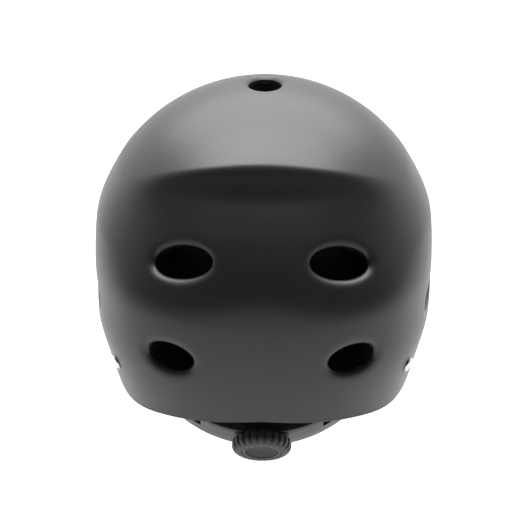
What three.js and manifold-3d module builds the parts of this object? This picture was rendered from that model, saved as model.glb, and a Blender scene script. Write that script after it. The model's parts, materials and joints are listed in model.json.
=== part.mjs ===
// A water sports helmet: a moulded outer shell with eleven oval vents, a foam liner with comfort
// pads, a riveted chin strap with a side-release buckle, and a nape cradle whose dial draws two
// toothed bands together.
// Millimetres, +X to the wearer's right, +Y forwards, +Z up.
// The origin is where the crown of the head meets the crown pad.

import * as THREE from "three";
import { mergeVertices } from "three/addons/utils/BufferGeometryUtils.js";
import Module from "manifold-3d";

const wasm = await Module();
wasm.setup();

const DEG = Math.PI / 180;
const GAP = 0.35; // between pieces that touch or nest

// ---- Driving dimensions. The shell and the liner are drawn in a frame centred in the dome. ----

const shell = {
  wall: 3,
  halfWidth: 108.5,
  frontReach: 137, // from the dome's centre to the front wall
  domeHeight: 102.5,
  domeWider: 3.5, // the dome alone would be this much wider and longer than the walls
  domeLonger: 6,
  upperNarrowing: 13.5, // how much narrower the rear panel is at its top
  leanFrom: -30, // below this height the walls lean in
  leanAngle: 14.5,
  brimFlare: 5,
  creaseRound: 5,
};
// The rear wall in the middle: height, then how far behind the dome's centre.
const rearProfile = [
  [100, 65], [88, 68], [75, 70.5], [64, 81], [50, 95], [34, 106.5],
  [14, 114.5], [-15, 117.5], [-42, 115.5], [-75, 108],
];
// The lower edge: degrees round from the front, then height.
const rimProfile = [
  [0, -24], [35, -23], [60, -34], [82, -52], [104, -68], [128, -76.5], [150, -71.5], [180, -67.5],
];

const dome = {
  halfWidth: shell.halfWidth + shell.domeWider,
  halfLength: shell.frontReach + shell.domeLonger,
  height: shell.domeHeight,
};
const rearReach = Math.max(...rearProfile.map(([, reach]) => reach));

const foam = { sides: 21.5, front: 20, rear: 20.5, crown: 18.5 }; // thickness, shell included
const liner = {
  cavityHalfWidth: shell.halfWidth - foam.sides,
  cavityFront: shell.frontReach - foam.front,
  cavityRear: rearReach - foam.rear,
  cavityHeight: shell.domeHeight - foam.crown,
  cavityZ: -5,
  flare: 0.08, // how much the cavity opens per millimetre below its middle
  roundness: 2.3,
  rimLift: 5, // the liner ends this far above the shell's edge
  behind: shell.halfWidth / 48, // tape and a little air between the foam and the shell
};

const cavityHalfLength = (liner.cavityFront + liner.cavityRear) / 2;
const cavityY = (liner.cavityFront - liner.cavityRear) / 2;

const ventGrow = 1.5; // the liner's channel is wider than the shell's hole by this much all round
// Oval vents: where a line from `from` along `along` meets the shell, long axis, short axis,
// turn of the long axis.
const vents = [
  { from: [0, 38, 0], along: [0, 0, 1], long: 40, short: 22, turn: 90 },
  ...pair({ from: [49, 0, 37], along: [0, -1, 0], long: 40, short: 21, turn: -12 }),
  ...pair({ from: [57, 0, -23], along: [0, -1, 0], long: 32, short: 20, turn: 4 }),
  ...pair({ from: [0, -30, -18], along: [1, 0, 0], long: 36, short: 18, turn: 0 }),
  ...pair({ from: [40, 0, 56], along: [0, 1, 0], long: 40, short: 21, turn: -14 }),
  ...pair({ from: [50, 0, 12], along: [0, 1, 0], long: 34, short: 19, turn: 8 }),
];

const pad = { thickness: 7.5, edge: 3, behind: 1.3 }; // hook dots hold each pad off the foam
const crownPad = { y: -12, halfWidth: 31, halfLength: 26, flat: 11 };

const rivet = { headRadius: 4.75, headHeight: 1.7, shank: 2.5, tailRadius: 3.7, tail: 1.2 };
const washer = { radius: 6, thickness: 1 };
const rivetSpots = { rear: [-68, -49.5], front: [55, -16] }; // y and z on the shell's side

const strap = { width: 20, thickness: 1.6, inset: 3, pastRivet: 9, toEdge: { rear: 22, front: 18 } };
const divider = {
  x: shell.halfWidth - 38, y: -2, z: -95,
  thickness: 6.6, top: 27, bottom: 9,
  topHalf: strap.width / 2 + 16, bottomHalf: strap.width / 2 + 2.5, corner: 5,
  strapStop: 15.5, strapStart: 2,
};
// The chin loop lies in a plane through both dividers that slopes down and forwards.
const loop = { slope: 41, depth: 92, straightX: divider.x - 17, straightDepth: 66 };
const chinPad = { halfLength: 40, width: strap.width + 7, inner: 6.5, outer: 2.2 };

// Distances run down the strap from the divider's centre.
const buckle = {
  halfWidth: strap.width / 2 + 3.2, halfThick: 4.2, corner: 2.5,
  socketBar: 15, socketEnd: 40, plugBar: 52, pastBar: 2,
  cavityHalfWidth: strap.width / 2 + 0.6, cavityHalfThick: 2.3, cavityFloor: 23,
  window: [26.5, 35], barRadius: 1.5, tongueHalf: 2.6, plugFit: 0.6,
  prongWidth: 3.4, prongAt: strap.width / 2 - 1.8,
};
const keeper = { start: 59, length: 6, wall: 1.6 };
const tailLength = 14; // of webbing past the plug's bar

const cradle = {
  radius: liner.cavityHalfWidth - 10, // of the bands' middle line
  y: -18.7, z: -49, slope: 36.5, // the bands run down to the nape
  bandThickness: 2, bandHalfHeight: 7.6, channelPlay: 0.6,
  housingSpan: 42, housingHalfHeight: 11.5, coverWall: 2.4, plateWall: 2,
};
const gear = { teeth: 6, pitchRadius: 3.6, addendum: 0.9, dedendum: 1.2, halfTooth: 0.6, stripOuter: 8.6 };
const dial = { radius: 19.3, height: 8, ribs: 24, faceRadius: 10, bossRadius: 15, shaft: 2.2 };
const bandReach = { broadEnd: 30, tip: 14 };
const ears = { gap: 0.5, thickness: 2, eyeRadius: 3.8, overlap: 0.6 }; // each side of a band's eye
const anchor = {
  studRadius: 3, studLength: 5.2, base: liner.cavityHalfWidth + 2.5,
  baseRadius: 10.5, baseThickness: 2.7, bossRadius: 6,
};
const studTip = anchor.base - anchor.studLength;

// ---- Helpers ----

function pair(v) {
  const mirrored = ([x, y, z]) => [-x, y, z];
  return [v, { ...v, from: mirrored(v.from), along: mirrored(v.along), mirrored: true }];
}

const clamp01 = (t) => Math.min(1, Math.max(0, t));
const smoothStep = (a, b, t) => {
  const u = clamp01((t - a) / (b - a));
  return u * u * (3 - 2 * u);
};

// A smooth curve through [position, value] rows, in rising or falling order of position.
function throughPoints(rows, at) {
  const list = rows[0][0] < rows[rows.length - 1][0] ? rows : [...rows].reverse();
  const last = list.length - 1;
  if (at <= list[0][0]) return list[0][1];
  if (at >= list[last][0]) return list[last][1];
  let i = 0;
  while (at > list[i + 1][0]) i++;
  const slope = (k) => {
    const a = list[Math.max(0, k - 1)];
    const b = list[Math.min(last, k + 1)];
    return (b[1] - a[1]) / (b[0] - a[0]);
  };
  const h = list[i + 1][0] - list[i][0];
  const t = (at - list[i][0]) / h;
  const [t2, t3] = [t * t, t * t * t];
  return (
    (2 * t3 - 3 * t2 + 1) * list[i][1] + (t3 - 2 * t2 + t) * h * slope(i) +
    (3 * t2 - 2 * t3) * list[i + 1][1] + (t3 - t2) * h * slope(i + 1)
  );
}

function smoothMax(a, b, blend) {
  const h = Math.max(blend - Math.abs(a - b), 0) / blend;
  return Math.max(a, b) + (h * h * blend) / 4;
}

// A closed solid from points and triangles that may repeat a point.
function solidFrom(points, faces) {
  const g = new THREE.BufferGeometry();
  g.setAttribute("position", new THREE.Float32BufferAttribute(points.flatMap((p) => [p.x, p.y, p.z]), 3));
  g.setIndex(faces.flat());
  return solid(g);
}

function solid(geometry) {
  const g = geometry.clone();
  for (const name of Object.keys(g.attributes)) if (name !== "position") g.deleteAttribute(name);
  const merged = mergeVertices(g, 1e-4);
  const kept = [];
  const index = merged.index.array;
  for (let i = 0; i < index.length; i += 3) {
    const [a, b, c] = [index[i], index[i + 1], index[i + 2]];
    if (a !== b && b !== c && a !== c) kept.push(a, b, c);
  }
  return new wasm.Manifold(
    new wasm.Mesh({
      numProp: 3,
      vertProperties: merged.attributes.position.array,
      triVerts: new Uint32Array(kept),
    }),
  );
}

function geometryOf(manifold) {
  const m = manifold.getMesh();
  const position = new Float32Array(m.numVert * 3);
  for (let i = 0; i < m.numVert; i++) {
    position.set(m.vertProperties.subarray(i * m.numProp, i * m.numProp + 3), i * 3);
  }
  const g = new THREE.BufferGeometry();
  g.setAttribute("position", new THREE.BufferAttribute(position, 3));
  g.setIndex(new THREE.BufferAttribute(new Uint32Array(m.triVerts), 1));
  return g;
}

const joined = (list) => list.reduce((a, b) => a.add(b));
const without = (body, cutters) => cutters.reduce((a, b) => a.subtract(b), body);

// Joins rings of points, each the same number long, into one closed body with flat ends.
// Each side is split along its shorter diagonal, so both faces of a twisted strip stay parallel.
function loft(rings) {
  const n = rings[0].length;
  const points = rings.flat();
  const faces = [];
  for (let i = 0; i + 1 < rings.length; i++)
    for (let j = 0; j < n; j++) {
      const [a, b] = [i * n + j, i * n + ((j + 1) % n)];
      const slanted = points[a].distanceTo(points[b + n]) > points[b].distanceTo(points[a + n]);
      if (slanted) faces.push([a, b, a + n], [b, b + n, a + n]);
      else faces.push([a, b, b + n], [a, b + n, a + n]);
    }
  const end = (rings.length - 1) * n;
  for (let j = 1; j + 1 < n; j++) {
    faces.push([0, j + 1, j]);
    faces.push([end, end + j, end + j + 1]);
  }
  const body = solidFrom(points, faces);
  return body.volume() >= 0 ? body : solidFrom(points, faces.map(([a, b, c]) => [a, c, b]));
}

function placed(geometry, matrix) {
  const g = geometry.clone();
  g.applyMatrix4(matrix);
  return solid(g);
}

// A matrix whose x, y and z axes are these directions.
function frameAt(origin, xAxis, zAxis) {
  const z = zAxis.clone().normalize();
  const x = xAxis.clone().addScaledVector(z, -xAxis.dot(z)).normalize();
  const y = new THREE.Vector3().crossVectors(z, x);
  return new THREE.Matrix4().makeBasis(x, y, z).setPosition(origin);
}

function ovalPrism(long, short, low, high, segments) {
  const shape = new THREE.Shape();
  shape.absellipse(0, 0, long / 2, short / 2, 0, 2 * Math.PI);
  const g = new THREE.ExtrudeGeometry(shape, { depth: high - low, bevelEnabled: false, curveSegments: segments });
  return g.translate(0, 0, low);
}

function rod(radius, low, high, segments = 16) {
  const g = new THREE.CylinderGeometry(radius, radius, high - low, segments);
  return g.rotateX(90 * DEG).translate(0, 0, (low + high) / 2);
}

function block(lowX, highX, lowY, highY, lowZ, highZ) {
  const g = new THREE.BoxGeometry(highX - lowX, highY - lowY, highZ - lowZ);
  return g.translate((lowX + highX) / 2, (lowY + highY) / 2, (lowZ + highZ) / 2);
}

const plastic = (color, roughness = 0.5) => new THREE.MeshStandardMaterial({ color, roughness, metalness: 0 });
const metal = (color, roughness = 0.3) => new THREE.MeshStandardMaterial({ color, roughness, metalness: 1 });

const finish = {
  shell: plastic(0x2b2b2c, 0.42),
  foam: plastic(0x141415, 0.9),
  fabric: plastic(0x1a1a1c, 0.95),
  webbing: plastic(0x161617, 0.85),
  steel: metal(0xc9c9c6, 0.25),
  hard: plastic(0x1c1c1d, 0.5),
  rubber: plastic(0x121212, 0.8),
};

// ---- The shell's surface ----

const plan = (z) => {
  const below = shell.leanFrom - z;
  const soft = 10;
  const lean = below > soft ? below : below > -soft ? (below + soft) ** 2 / (4 * soft) : 0;
  return {
    side:
      shell.halfWidth - shell.upperNarrowing * smoothStep(25, 63, z) -
      Math.tan(shell.leanAngle * DEG) * lean,
    rear: throughPoints(rearProfile, z),
    front: shell.frontReach + shell.brimFlare * smoothStep(0, -26, z),
    power: 2 + 0.6 * smoothStep(38, 2, z),
  };
};

// Positive outside the shell and negative inside it.
function shellField(x, y, z) {
  const { halfWidth, halfLength, height } = dome;
  const over = (Math.hypot(x / halfWidth, y / halfLength, Math.max(0, z) / height) - 1) * halfWidth;
  const p = plan(z);
  const reach = y < 0 ? p.rear : p.front;
  const share = (Math.abs(x / p.side) ** p.power + Math.abs(y / reach) ** p.power) ** (1 / p.power);
  const wall = (share - 1) * p.side;
  return smoothMax(over, wall, shell.creaseRound);
}

// Positive outside the space for the head.
function cavityField(x, y, z) {
  const down = Math.max(0, liner.cavityZ - z);
  const up = Math.max(0, z - liner.cavityZ);
  const n = liner.roundness;
  const [a, b] = [liner.cavityHalfWidth + liner.flare * down, cavityHalfLength + liner.flare * down];
  const flat = (Math.abs(x / a) ** n + Math.abs((y - cavityY) / b) ** n) ** (1 / n);
  return (Math.hypot(flat, up / liner.cavityHeight) - 1) * a;
}

function meet(field, from, along) {
  let [near, far] = [0, 260];
  for (let i = 0; i < 40; i++) {
    const middle = (near + far) / 2;
    const p = from.clone().addScaledVector(along, middle);
    if (field(p.x, p.y, p.z) < 0) near = middle;
    else far = middle;
  }
  return from.clone().addScaledVector(along, near);
}

function outward(field, p) {
  const e = 0.2;
  return new THREE.Vector3(
    field(p.x + e, p.y, p.z) - field(p.x - e, p.y, p.z),
    field(p.x, p.y + e, p.z) - field(p.x, p.y - e, p.z),
    field(p.x, p.y, p.z + e) - field(p.x, p.y, p.z - e),
  ).normalize();
}

const fromFront = (round) => Math.abs(((round / DEG - 90 + 540) % 360) - 180);
const rimHeight = (round) => throughPoints(rimProfile, fromFront(round));

// A point of a surface seen from the dome's centre: round from +X, down from +Z, then moved inwards.
function surfacePoint(field, round, down, inset = 0) {
  const sin = Math.sin(down);
  const along = new THREE.Vector3(Math.cos(round) * sin, Math.sin(round) * sin, Math.cos(down));
  const p = meet(field, new THREE.Vector3(), along);
  return inset ? p.addScaledVector(outward(field, p), -inset) : p;
}

// How far down the surface reaches this height.
function downTo(field, round, height, inset = 0) {
  let [low, high] = [40 * DEG, 165 * DEG];
  for (let i = 0; i < 34; i++) {
    const middle = (low + high) / 2;
    if (surfacePoint(field, round, middle, inset).z > height) low = middle;
    else high = middle;
  }
  return low;
}

// A bowl between two surfaces, both ending at the heights that edge(round) gives. Every bowl has its
// points in the same directions, so that the faces of nested bowls stay the same distance apart.
const bowlGrid = { around: 36, rings: 10 };
function bowl(outer, inner, edge) {
  const { around, rings } = bowlGrid;
  const columns = [];
  for (let i = 0; i < around; i++) {
    const round = (i / around) * 2 * Math.PI;
    const whole = downTo(shellField, round, rimHeight(round));
    const point = (s, j) => {
      const down = j < rings ? (j / rings) * whole : downTo(s.field, round, edge(round), s.inset);
      const p = surfacePoint(s.field, round, down, s.inset);
      return p.multiplyScalar(1 - (s.sunk || 0) / p.length());
    };
    const steps = Array.from({ length: rings + 1 }, (_, j) => j);
    columns.push([...steps.map((j) => point(outer, j)), ...steps.reverse().map((j) => point(inner, j))]);
  }
  const n = columns[0].length;
  const top = columns[0][0];
  const under = columns[0][n - 1];
  const points = columns.flatMap((c) => c.map((p, j) => (j === 0 ? top : j === n - 1 ? under : p)));
  const faces = [];
  for (let i = 0; i < around; i++)
    for (let j = 0; j + 1 < n; j++) {
      const [a, b] = [i * n + j, ((i + 1) % around) * n + j];
      const mirrored = i < around / 4 || (i >= around / 2 && i < around * 0.75);
      if (mirrored) faces.push([a, a + 1, b], [a + 1, b + 1, b]);
      else faces.push([a, a + 1, b + 1], [a, b + 1, b]);
    }
  return solidFrom(points, faces);
}

// ---- Where vents, rivets and straps sit ----

function spotOn(field, from, along) {
  const at = meet(field, new THREE.Vector3(...from), new THREE.Vector3(...along));
  return { at, normal: outward(field, at) };
}

function ventFrame(v) {
  const { at, normal } = spotOn(shellField, v.from, v.along);
  const upwards = Math.abs(v.along[2]) > 0.5;
  const level = upwards ? new THREE.Vector3(1, 0, 0) : new THREE.Vector3(0, 0, 1).cross(normal);
  const turn = (v.mirrored ? -v.turn : v.turn) * DEG;
  return frameAt(at, level.normalize().applyAxisAngle(normal, turn), normal);
}

const ventCutters = (grow, inward, outwards, segments) =>
  vents.map((v) => {
    const oval = ovalPrism(v.long + 2 * grow, v.short + 2 * grow, -inward, outwards, segments);
    return placed(oval, ventFrame(v));
  });

const sides = [["left", -1], ["right", 1]];
const ends = ["front", "rear"];

function rivetSpot(end, side) {
  const [y, z] = rivetSpots[end];
  return spotOn(shellField, [0, y, z], [side, 0, 0]);
}

const rivetFrame = (end, side) => {
  const { at, normal } = rivetSpot(end, side);
  return frameAt(at, new THREE.Vector3(0, 0, 1), normal);
};

// The chin loop's plane: across is +X, down runs down the slope, and the webbing's width lies
// along its normal.
const loopDown = new THREE.Vector3(0, Math.cos(loop.slope * DEG), -Math.sin(loop.slope * DEG));
const dividerAt = (side) => new THREE.Vector3(side * divider.x, divider.y, divider.z);
const loopFrame = () =>
  new THREE.Matrix4()
    .makeBasis(new THREE.Vector3(1, 0, 0), loopDown, new THREE.Vector3(1, 0, 0).cross(loopDown))
    .setPosition(new THREE.Vector3(0, divider.y, divider.z));
const straightAngle = Math.atan2(divider.x - loop.straightX, loop.straightDepth);

// Runs down one side of the chin loop: x along the strap, y along its width, z outwards.
function sideFrame(side) {
  const [sin, cos] = [Math.sin(straightAngle), Math.cos(straightAngle)];
  const along = new THREE.Vector3(-side * sin, 0, 0).addScaledVector(loopDown, cos);
  const out = new THREE.Vector3(side * cos, 0, 0).addScaledVector(loopDown, sin);
  return frameAt(dividerAt(side), along, out);
}

// The middle line of a V strap, from past its rivet, inside the shell, to its divider.
function strapLine(end, side, extra = 0) {
  const { at } = rivetSpot(end, side);
  const target = dividerAt(side);
  const frame = sideFrame(side);
  const out = new THREE.Vector3().setFromMatrixColumn(frame, 2);
  const way = target.clone().sub(at);
  way.x = 0;
  way.normalize();
  const rows = [];
  const underShell = (distance) => {
    const y = at.y + way.y * distance;
    const z = at.z + way.z * distance;
    const spot = spotOn(shellField, [0, y, z], [side, 0, 0]);
    return { p: spot.at.clone().addScaledVector(spot.normal, -(shell.wall + strap.inset)), n: spot.normal };
  };
  const toEdge = strap.toEdge[end];
  for (const d of [-strap.pastRivet, 0, toEdge / 2, toEdge]) rows.push(underShell(d));
  const free = rows[rows.length - 1];
  const inPlate = free.p.clone().sub(target);
  inPlate.addScaledVector(out, -inPlate.dot(out)).normalize();
  const entry = target.clone().addScaledVector(inPlate, divider.top + 7);
  for (const t of [0.33, 0.67, 1])
    rows.push({ p: free.p.clone().lerp(entry, t), n: free.n.clone().lerp(out, t).normalize() });
  rows.push({ p: target.clone().addScaledVector(inPlate, divider.strapStop - extra), n: out });
  return rows;
}

// A flat strip along rows of {p, n}: n is its face's direction.
function strip(rows, width, thickness, shift = 0) {
  return loft(
    rows.map(({ p, n }, i) => {
      const before = rows[Math.max(0, i - 1)].p;
      const after = rows[Math.min(rows.length - 1, i + 1)].p;
      const t = after.clone().sub(before).normalize();
      const across = new THREE.Vector3().crossVectors(n, t).normalize();
      const face = new THREE.Vector3().crossVectors(t, across).normalize();
      const corner = (a, b) =>
        p.clone().addScaledVector(across, (a * width) / 2).addScaledVector(face, (b * thickness) / 2 + shift);
      return [corner(-1, -1), corner(1, -1), corner(1, 1), corner(-1, 1)];
    }),
  );
}

// ---- Shell and liner ----

function outerShell() {
  const body = bowl({ field: shellField, inset: 0 }, { field: shellField, inset: shell.wall }, rimHeight);
  const hole = rod(rivet.shank + GAP, -8, 6, 12);
  const holes = ends.flatMap((end) => sides.map(([, s]) => placed(hole, rivetFrame(end, s))));
  return without(body, [...ventCutters(0, 16, 12, 6), ...holes]);
}

function foamLiner() {
  const edge = (round) => rimHeight(round) + liner.rimLift;
  const skin = { field: shellField, inset: shell.wall, sunk: liner.behind };
  const body = bowl(skin, { field: cavityField, inset: 0 }, edge);
  const depth = strap.inset + strap.thickness + washer.thickness + rivet.tail + 3;
  const channels = ends.flatMap((end) =>
    sides.map(([, s]) => strip(strapLine(end, s), strap.width + 5, depth, -(depth / 2 - strap.inset - 0.5))),
  );
  const pocket = rod(anchor.baseRadius + GAP, studTip, anchor.base + anchor.baseThickness + GAP, 20);
  const pockets = sides.map(([, s]) => placed(pocket, anchorFrame(s)));
  return without(body, [...ventCutters(ventGrow, 60, 12, 5), ...channels, ...pockets]);
}

const anchorFrame = (side) =>
  frameAt(new THREE.Vector3(0, cradle.y, cradle.z), new THREE.Vector3(0, 0, 1), new THREE.Vector3(side, 0, 0));

// ---- Comfort pads: patches of the cavity's wall, thicker in the middle ----

function wallPad(roundFrom, roundTo, highAt, lowAt) {
  const [across, down] = [8, 4];
  const sheet = (inset) => {
    const rows = [];
    for (let i = 0; i <= across; i++) {
      const round = (roundFrom + ((roundTo - roundFrom) * i) / across) * DEG;
      const [from, to] = [downTo(cavityField, round, highAt(round)), downTo(cavityField, round, lowAt(round))];
      for (let j = 0; j <= down; j++) {
        const rim = i === 0 || i === across || j === 0 || j === down;
        rows.push(surfacePoint(cavityField, round, from + ((to - from) * j) / down, inset(rim)));
      }
    }
    return rows;
  };
  const back = sheet(() => pad.behind);
  const face = sheet((rim) => (rim ? pad.thickness - pad.edge : pad.thickness));
  const n = (across + 1) * (down + 1);
  const at = (i, j) => i * (down + 1) + j;
  const faces = [];
  const quad = (a, b, c, d) => faces.push([a, b, c], [a, c, d]);
  for (let i = 0; i < across; i++)
    for (let j = 0; j < down; j++) {
      quad(at(i, j), at(i + 1, j), at(i + 1, j + 1), at(i, j + 1));
      quad(n + at(i, j), n + at(i, j + 1), n + at(i + 1, j + 1), n + at(i + 1, j));
    }
  for (let i = 0; i < across; i++) {
    quad(at(i, 0), n + at(i, 0), n + at(i + 1, 0), at(i + 1, 0));
    quad(at(i, down), at(i + 1, down), n + at(i + 1, down), n + at(i, down));
  }
  for (let j = 0; j < down; j++) {
    quad(at(0, j), at(0, j + 1), n + at(0, j + 1), n + at(0, j));
    quad(at(across, j), n + at(across, j), n + at(across, j + 1), at(across, j + 1));
  }
  const body = solidFrom([...back, ...face], faces);
  return body.volume() >= 0 ? body : solidFrom([...back, ...face], faces.map(([a, b, c]) => [a, c, b]));
}

// Where the crown of the head rests: the middle of the crown pad's flat underside.
const seat = (() => {
  const top = spotOn(cavityField, [0, crownPad.y, 0], [0, 0, 1]).at;
  return new THREE.Vector3(0, crownPad.y, top.z - pad.behind - pad.thickness - 1);
})();

function crownPadBody() {
  const around = 16;
  const ring = (share, heightOf) =>
    Array.from({ length: around }, (_, i) => {
      const a = (i / around) * 2 * Math.PI;
      const x = share * crownPad.halfWidth * Math.cos(a);
      const y = crownPad.y + share * crownPad.halfLength * Math.sin(a);
      return new THREE.Vector3(x, y, heightOf(x, y));
    });
  const roof = (x, y) => {
    const at = meet(cavityField, new THREE.Vector3(x, y, 0), new THREE.Vector3(0, 0, 1));
    return at.addScaledVector(outward(cavityField, at), -pad.behind).z;
  };
  const flatShare = crownPad.flat / crownPad.halfLength;
  const rings = [
    ...[0.5, 1].map((share) => ring(share, roof)),
    ring(1, (x, y) => roof(x, y) - pad.thickness + pad.edge),
    ring(0.86, (x, y) => roof(x, y) - pad.thickness - 0.6),
    ring(flatShare, () => seat.z),
  ];
  return loft(rings);
}

// ---- Rivets, washers and the V straps ----

// wider webbing bows more across the shell's curve, so the washer stands further off it
const bow = strap.width / 100;
const washerTop = -(shell.wall + strap.inset + strap.thickness / 2 + GAP + bow);

function rivetBody() {
  const tailTop = washerTop - washer.thickness - GAP;
  const profile = [
    [0, tailTop - rivet.tail], [rivet.tailRadius, tailTop - rivet.tail],
    [rivet.tailRadius, tailTop], [rivet.shank, tailTop],
    [rivet.shank, GAP], [rivet.headRadius, GAP], [rivet.headRadius - 0.3, GAP + rivet.headHeight * 0.5],
    [rivet.headRadius * 0.62, GAP + rivet.headHeight * 0.92], [0, GAP + rivet.headHeight],
  ].map(([r, z]) => new THREE.Vector2(r, z));
  return new THREE.LatheGeometry(profile, 12).rotateX(90 * DEG);
}

function washerBody() {
  const hole = rivet.shank + GAP;
  const [top, low] = [washerTop, washerTop - washer.thickness];
  const profile = [[hole, low], [washer.radius, low], [washer.radius, top], [hole, top], [hole, low]];
  return new THREE.LatheGeometry(profile.map(([r, z]) => new THREE.Vector2(r, z)), 12).rotateX(90 * DEG);
}

function vStrap(end, side) {
  const body = strip(strapLine(end, side), strap.width, strap.thickness);
  return without(body, [placed(rod(rivet.shank + GAP, -12, 6, 12), rivetFrame(end, side))]);
}

// ---- Dividers and the chin loop ----

function dividerBody(side) {
  const d = divider;
  const shape = new THREE.Shape();
  const { corner } = d;
  shape.moveTo(-d.top, -d.topHalf + corner);
  shape.lineTo(-d.top, d.topHalf - corner);
  shape.quadraticCurveTo(-d.top, d.topHalf, -d.top + corner, d.topHalf);
  shape.lineTo(d.bottom - corner, d.bottomHalf);
  shape.quadraticCurveTo(d.bottom, d.bottomHalf, d.bottom, d.bottomHalf - corner);
  shape.lineTo(d.bottom, -d.bottomHalf + corner);
  shape.quadraticCurveTo(d.bottom, -d.bottomHalf, d.bottom - corner, -d.bottomHalf);
  shape.lineTo(-d.top + corner, -d.topHalf);
  shape.quadraticCurveTo(-d.top, -d.topHalf, -d.top, -d.topHalf + corner);
  const plate = new THREE.ExtrudeGeometry(shape, { depth: d.thickness, bevelEnabled: false, curveSegments: 4 });
  plate.translate(0, 0, -d.thickness / 2);
  const room = 2 * GAP;
  const slots = ends.map((end) => strip(strapLine(end, side, GAP), strap.width + room, strap.thickness + room));
  const [half, halfThick] = [strap.width / 2 + GAP, strap.thickness / 2 + GAP];
  const lower = placed(block(d.strapStart - GAP, 40, -half, half, -halfThick, halfThick), sideFrame(side));
  return without(placed(plate, sideFrame(side)), [...slots, lower]);
}

// The chin loop's middle line in its plane, from one divider's side to the other: x across, y down the slope.
const straightEnd = new THREE.Vector2(loop.straightX, loop.straightDepth);
const bendCorner = new THREE.Vector2(
  loop.straightX - Math.tan(straightAngle) * (loop.depth - loop.straightDepth),
  loop.depth,
);
const halfBend = new THREE.QuadraticBezierCurve(straightEnd, bendCorner, new THREE.Vector2(0, loop.depth));
const alongSide = (side, distance, lift = 0) =>
  new THREE.Vector2(
    side * (divider.x - Math.sin(straightAngle) * distance + Math.cos(straightAngle) * lift),
    Math.cos(straightAngle) * distance + Math.sin(straightAngle) * lift,
  );

// A thick line in the loop's plane, as an outline.
function thickLine(points, thickness) {
  const side = (sign) =>
    points.map((p, i) => {
      const t = points[Math.min(points.length - 1, i + 1)].clone().sub(points[Math.max(0, i - 1)]).normalize();
      return new THREE.Vector2(p.x - (sign * t.y * thickness) / 2, p.y + (sign * t.x * thickness) / 2);
    });
  return new THREE.Shape([...side(1), ...side(-1).reverse()]);
}

function inLoopPlane(shape, width) {
  const g = new THREE.ExtrudeGeometry(shape, { depth: width, bevelEnabled: false }).translate(0, 0, -width / 2);
  return placed(g, loopFrame());
}

// Bend points from the straight's end (share 0) to the middle of the chin (share 1), on one side.
const bendPoints = (side, from, to, steps) =>
  Array.from({ length: steps + 1 }, (_, i) => {
    const p = halfBend.getPoint(from + ((to - from) * i) / steps);
    return new THREE.Vector2(side * p.x, p.y);
  });

const padShare = 1 - chinPad.halfLength / (bendCorner.x + 10);

// Webbing that comes to a bar, goes round it and lies back on itself: [distance along the side, lift] points.
const barBend = buckle.barRadius + GAP + strap.thickness / 2;
function roundBar(side, bar, towards, back) {
  const turn = [];
  const steps = 5;
  for (let i = 0; i <= steps; i++) {
    const a = (i / steps - 0.5) * Math.PI;
    turn.push(alongSide(side, bar + towards * Math.cos(a) * barBend, Math.sin(a) * barBend));
  }
  return [...turn, alongSide(side, bar - towards * back, barBend)];
}

function chinStrapRight() {
  const bend = [...bendPoints(-1, padShare + 0.08, 1, 5), ...bendPoints(1, 0, 0.92, 7).reverse()];
  const up = [alongSide(1, buckle.plugBar + 6), alongSide(1, buckle.plugBar + 1, -barBend)];
  const whole = [...bend, ...up, ...roundBar(1, buckle.plugBar, -1, tailLength)];
  return inLoopPlane(thickLine(whole, strap.thickness), strap.width);
}

function chinStrapLeft() {
  const start = [alongSide(-1, divider.strapStart), alongSide(-1, 30)];
  const points = [...start, ...bendPoints(-1, 0, padShare + 0.05, 6)];
  return inLoopPlane(thickLine(points, strap.thickness), strap.width);
}

function upperStrapRight() {
  const bar = buckle.socketBar;
  const down = [alongSide(1, divider.strapStart), alongSide(1, bar - 5), alongSide(1, bar - 1, -barBend)];
  const points = [...down, ...roundBar(1, bar, 1, 3)];
  return inLoopPlane(thickLine(points, strap.thickness), strap.width);
}

function chinPadBody() {
  const from = padShare;
  const line = [...bendPoints(-1, from, 1, 7), ...bendPoints(1, from, 0.97, 7).reverse()];
  const middle = (chinPad.outer - chinPad.inner) / 2;
  const moved = line.map((p, i) => {
    const t = line[Math.min(line.length - 1, i + 1)].clone().sub(line[Math.max(0, i - 1)]).normalize();
    return new THREE.Vector2(p.x - t.y * middle, p.y + t.x * middle);
  });
  const body = inLoopPlane(thickLine(moved, chinPad.inner + chinPad.outer), chinPad.width);
  const wide = strap.width + 2 * GAP;
  const bends = [...bendPoints(-1, 0, 1, 14), ...bendPoints(1, 0, 0.94, 13).reverse()];
  const whole = [alongSide(-1, 4), ...bends, alongSide(1, 40)];
  return without(body, [inLoopPlane(thickLine(whole, strap.thickness + 2 * GAP), wide)]);
}

function strapKeeper() {
  const { start, length, wall } = keeper;
  const end = start + length;
  const [low, high] = [-strap.thickness / 2 - GAP, barBend + strap.thickness / 2 + GAP];
  const half = strap.width / 2 + GAP;
  const ring = placed(block(start, end, -half - wall, half + wall, low - wall, high + wall), sideFrame(1));
  return without(ring, [placed(block(start - 1, end + 1, -half, half, low, high), sideFrame(1))]);
}

// ---- The buckle: x along the strap, y across it, z outwards ----

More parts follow.
